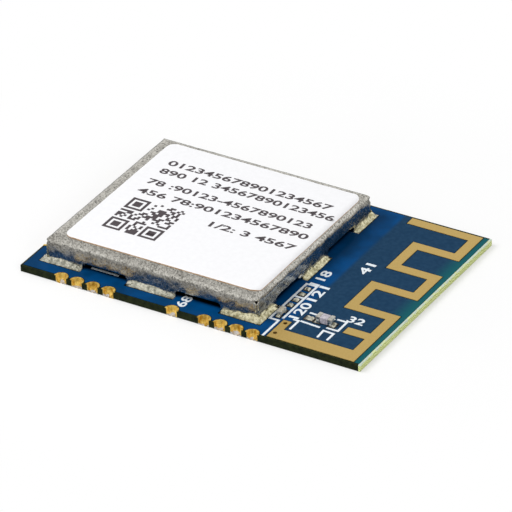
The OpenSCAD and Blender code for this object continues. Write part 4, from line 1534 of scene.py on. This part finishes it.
@dataclass
class Studio:
    """Pale table, soft lamps, white surroundings and the camera.

    Attributes:
        azimuth: Turn of the camera about Z from the front, in degrees.
        elevation: Height of the camera over the table, in degrees.
        roll: Turn of the camera about its own axis, in degrees.
        distance: Distance of the camera from its aim in mm.
        lens: Focal length in mm.
        aim: Point that the camera looks at, in mm.
        table_size: Side of the table in mm.
        lamp_size: Side of a lamp in mm.
        key_place: Place of the key lamp in mm.
        key_power: Power of the key lamp in watts.
        fill_place: Place of the fill lamp in mm.
        fill_power: Power of the fill lamp in watts.
        ambient: Strength of the soft light from all round.
        horizon: Strength of the surroundings in reflections, level with the table.
        zenith: Strength of the surroundings in reflections, overhead.
        near_white: Share of plain white in the table next to the module, which shows its shadow.
        mirrored_table: Strength of the table in reflections.
        shadow_from: Where the table begins to turn to plain white, in mm from the middle.
        shadow_to: Where it has turned, in mm from the middle.
    """

    azimuth: float = 31.83
    elevation: float = 31.61
    roll: float = -1.9
    distance: float = 297.3
    lens: float = 375.99
    aim: tuple[float, float, float] = (-0.068, 0.050, 0.128)
    table_size: float = 600.0
    lamp_size: float = 160.0
    key_place: tuple[float, float, float] = (-140.0, -90.0, 220.0)
    key_power: float = 0.55
    fill_place: tuple[float, float, float] = (220.0, -120.0, 120.0)
    fill_power: float = 0.17
    ambient: float = 0.52
    horizon: float = 1.0
    zenith: float = 0.6
    near_white: float = 0.4
    mirrored_table: float = 0.4
    shadow_from: float = 9.0
    shadow_to: float = 24.0

    def build(self) -> None:
        """Builds the table, the lamps, the world and the camera."""
        self.set_table()
        self.set_lamp("key_lamp", self.key_place, self.key_power)
        self.set_lamp("fill_lamp", self.fill_place, self.fill_power)
        self.set_world()
        self.set_camera()
        bpy.context.scene.view_settings.view_transform = "Standard"

    def set_table(self) -> None:
        """Lays the table, white to the camera with a faint real shadow, and grey in reflections."""
        half = self.table_size / 2 * MM
        mesh = bpy.data.meshes.new("table")
        mesh.from_pydata([(-half, -half, 0), (half, -half, 0), (half, half, 0), (-half, half, 0)],
                         [], [(0, 1, 2, 3)])
        material = Finishes.TABLE.value.material()
        tree = material.node_tree
        out = tree.nodes["Material Output"]
        painted = tree.nodes["Principled BSDF"].outputs[0]
        path = add_node(tree, "ShaderNodeLightPath").outputs
        place = add_node(tree, "ShaderNodeTexCoord").outputs["Object"]
        away = add_node(tree, "ShaderNodeVectorMath", {0: place}, operation="LENGTH")
        whole = add_node(tree, "ShaderNodeMapRange", {
            "Value": away.outputs["Value"], "From Min": self.shadow_from * MM,
            "From Max": self.shadow_to * MM, "To Min": self.near_white, "To Max": 1.0},
            interpolation_type="SMOOTHSTEP")
        share = add_node(tree, "ShaderNodeMath", {0: path["Is Camera Ray"], 1: whole.outputs[0]},
                         operation="MULTIPLY").outputs[0]
        white = add_node(tree, "ShaderNodeEmission", {"Color": (1, 1, 1, 1), "Strength": 1.0})
        lit = add_node(tree, "ShaderNodeMixShader", {0: share, 1: painted, 2: white.outputs[0]})
        grey = add_node(tree, "ShaderNodeEmission", {
            "Color": (1, 1, 1, 1), "Strength": self.mirrored_table})
        mixed = add_node(tree, "ShaderNodeMixShader", {
            0: path["Is Glossy Ray"], 1: lit.outputs[0], 2: grey.outputs[0]})
        tree.links.new(mixed.outputs[0], out.inputs["Surface"])
        mesh.materials.append(material)
        table = bpy.data.objects.new("table", mesh)
        bpy.context.scene.collection.objects.link(table)

    def set_lamp(self, name: str, place: tuple[float, float, float], power: float) -> None:
        """Hangs a square soft lamp that faces the module.

        Args:
            name: Name of the lamp.
            place: Place in mm.
            power: Power in watts.
        """
        lamp = bpy.data.lights.new(name, "AREA")
        lamp.size = self.lamp_size * MM
        lamp.energy = power
        obj = bpy.data.objects.new(name, lamp)
        obj.location = Vector(place) * MM
        obj.rotation_euler = (-Vector(place)).to_track_quat("-Z", "Y").to_euler()
        obj.visible_glossy = False
        bpy.context.scene.collection.objects.link(obj)

    def set_world(self) -> None:
        """Surrounds the module: white to the camera, graded in reflections, soft to the rest."""
        world = bpy.data.worlds.new("surroundings")
        world.use_nodes = True
        tree = world.node_tree
        ground = tree.nodes["Background"]
        path = add_node(tree, "ShaderNodeLightPath").outputs
        ray = add_node(tree, "ShaderNodeTexCoord").outputs["Generated"]
        axes = add_node(tree, "ShaderNodeSeparateXYZ", {0: ray}).outputs
        high = add_node(tree, "ShaderNodeMapRange", {
            "Value": axes["Z"], "To Min": self.horizon, "To Max": self.zenith})
        mirrored = add_node(tree, "ShaderNodeMix", {
            0: path["Is Glossy Ray"], 2: self.ambient, 3: high.outputs[0]})
        seen = add_node(tree, "ShaderNodeMix", {
            0: path["Is Camera Ray"], 2: mirrored.outputs[0], 3: 1.0})
        tree.links.new(seen.outputs[0], ground.inputs["Strength"])
        ground.inputs["Color"].default_value = (1, 1, 1, 1)
        bpy.context.scene.world = world

    def set_camera(self) -> None:
        """Places the camera by azimuth, elevation, distance and roll about its aim."""
        data = bpy.data.cameras.new("camera")
        data.lens = self.lens
        data.clip_start = 0.01
        camera = bpy.data.objects.new("camera", data)
        a, e = math.radians(self.azimuth), math.radians(self.elevation)
        back = Vector((math.sin(a) * math.cos(e), -math.cos(a) * math.cos(e), math.sin(e)))
        turn = back.to_track_quat("Z", "Y").to_matrix().to_4x4()
        place = Matrix.Translation((Vector(self.aim) + back * self.distance) * MM)
        camera.matrix_world = place @ turn @ Matrix.Rotation(math.radians(self.roll), 4, "Z")
        bpy.context.scene.collection.objects.link(camera)
        bpy.context.scene.camera = camera


def main() -> None:
    """Builds the sub-assemblies in order and reports each piece."""
    logging.basicConfig(level=logging.INFO, format="%(message)s")
    Studio().build()
    board = Board()
    board.dress()
    InnerCircuit().dress()
    pieces = [board.contact_feet(), board.place_numbers()]
    can = ShieldCan()
    pieces += [can.build(), can.build_solder()]
    label = Label(can)
    pieces += [label.build(), label.print()]
    pieces += SmallParts().build()
    for piece in pieces:
        LOG.info("built %s with %d faces", piece.name, len(piece.data.polygons))


if __name__ == "__main__":
    main()
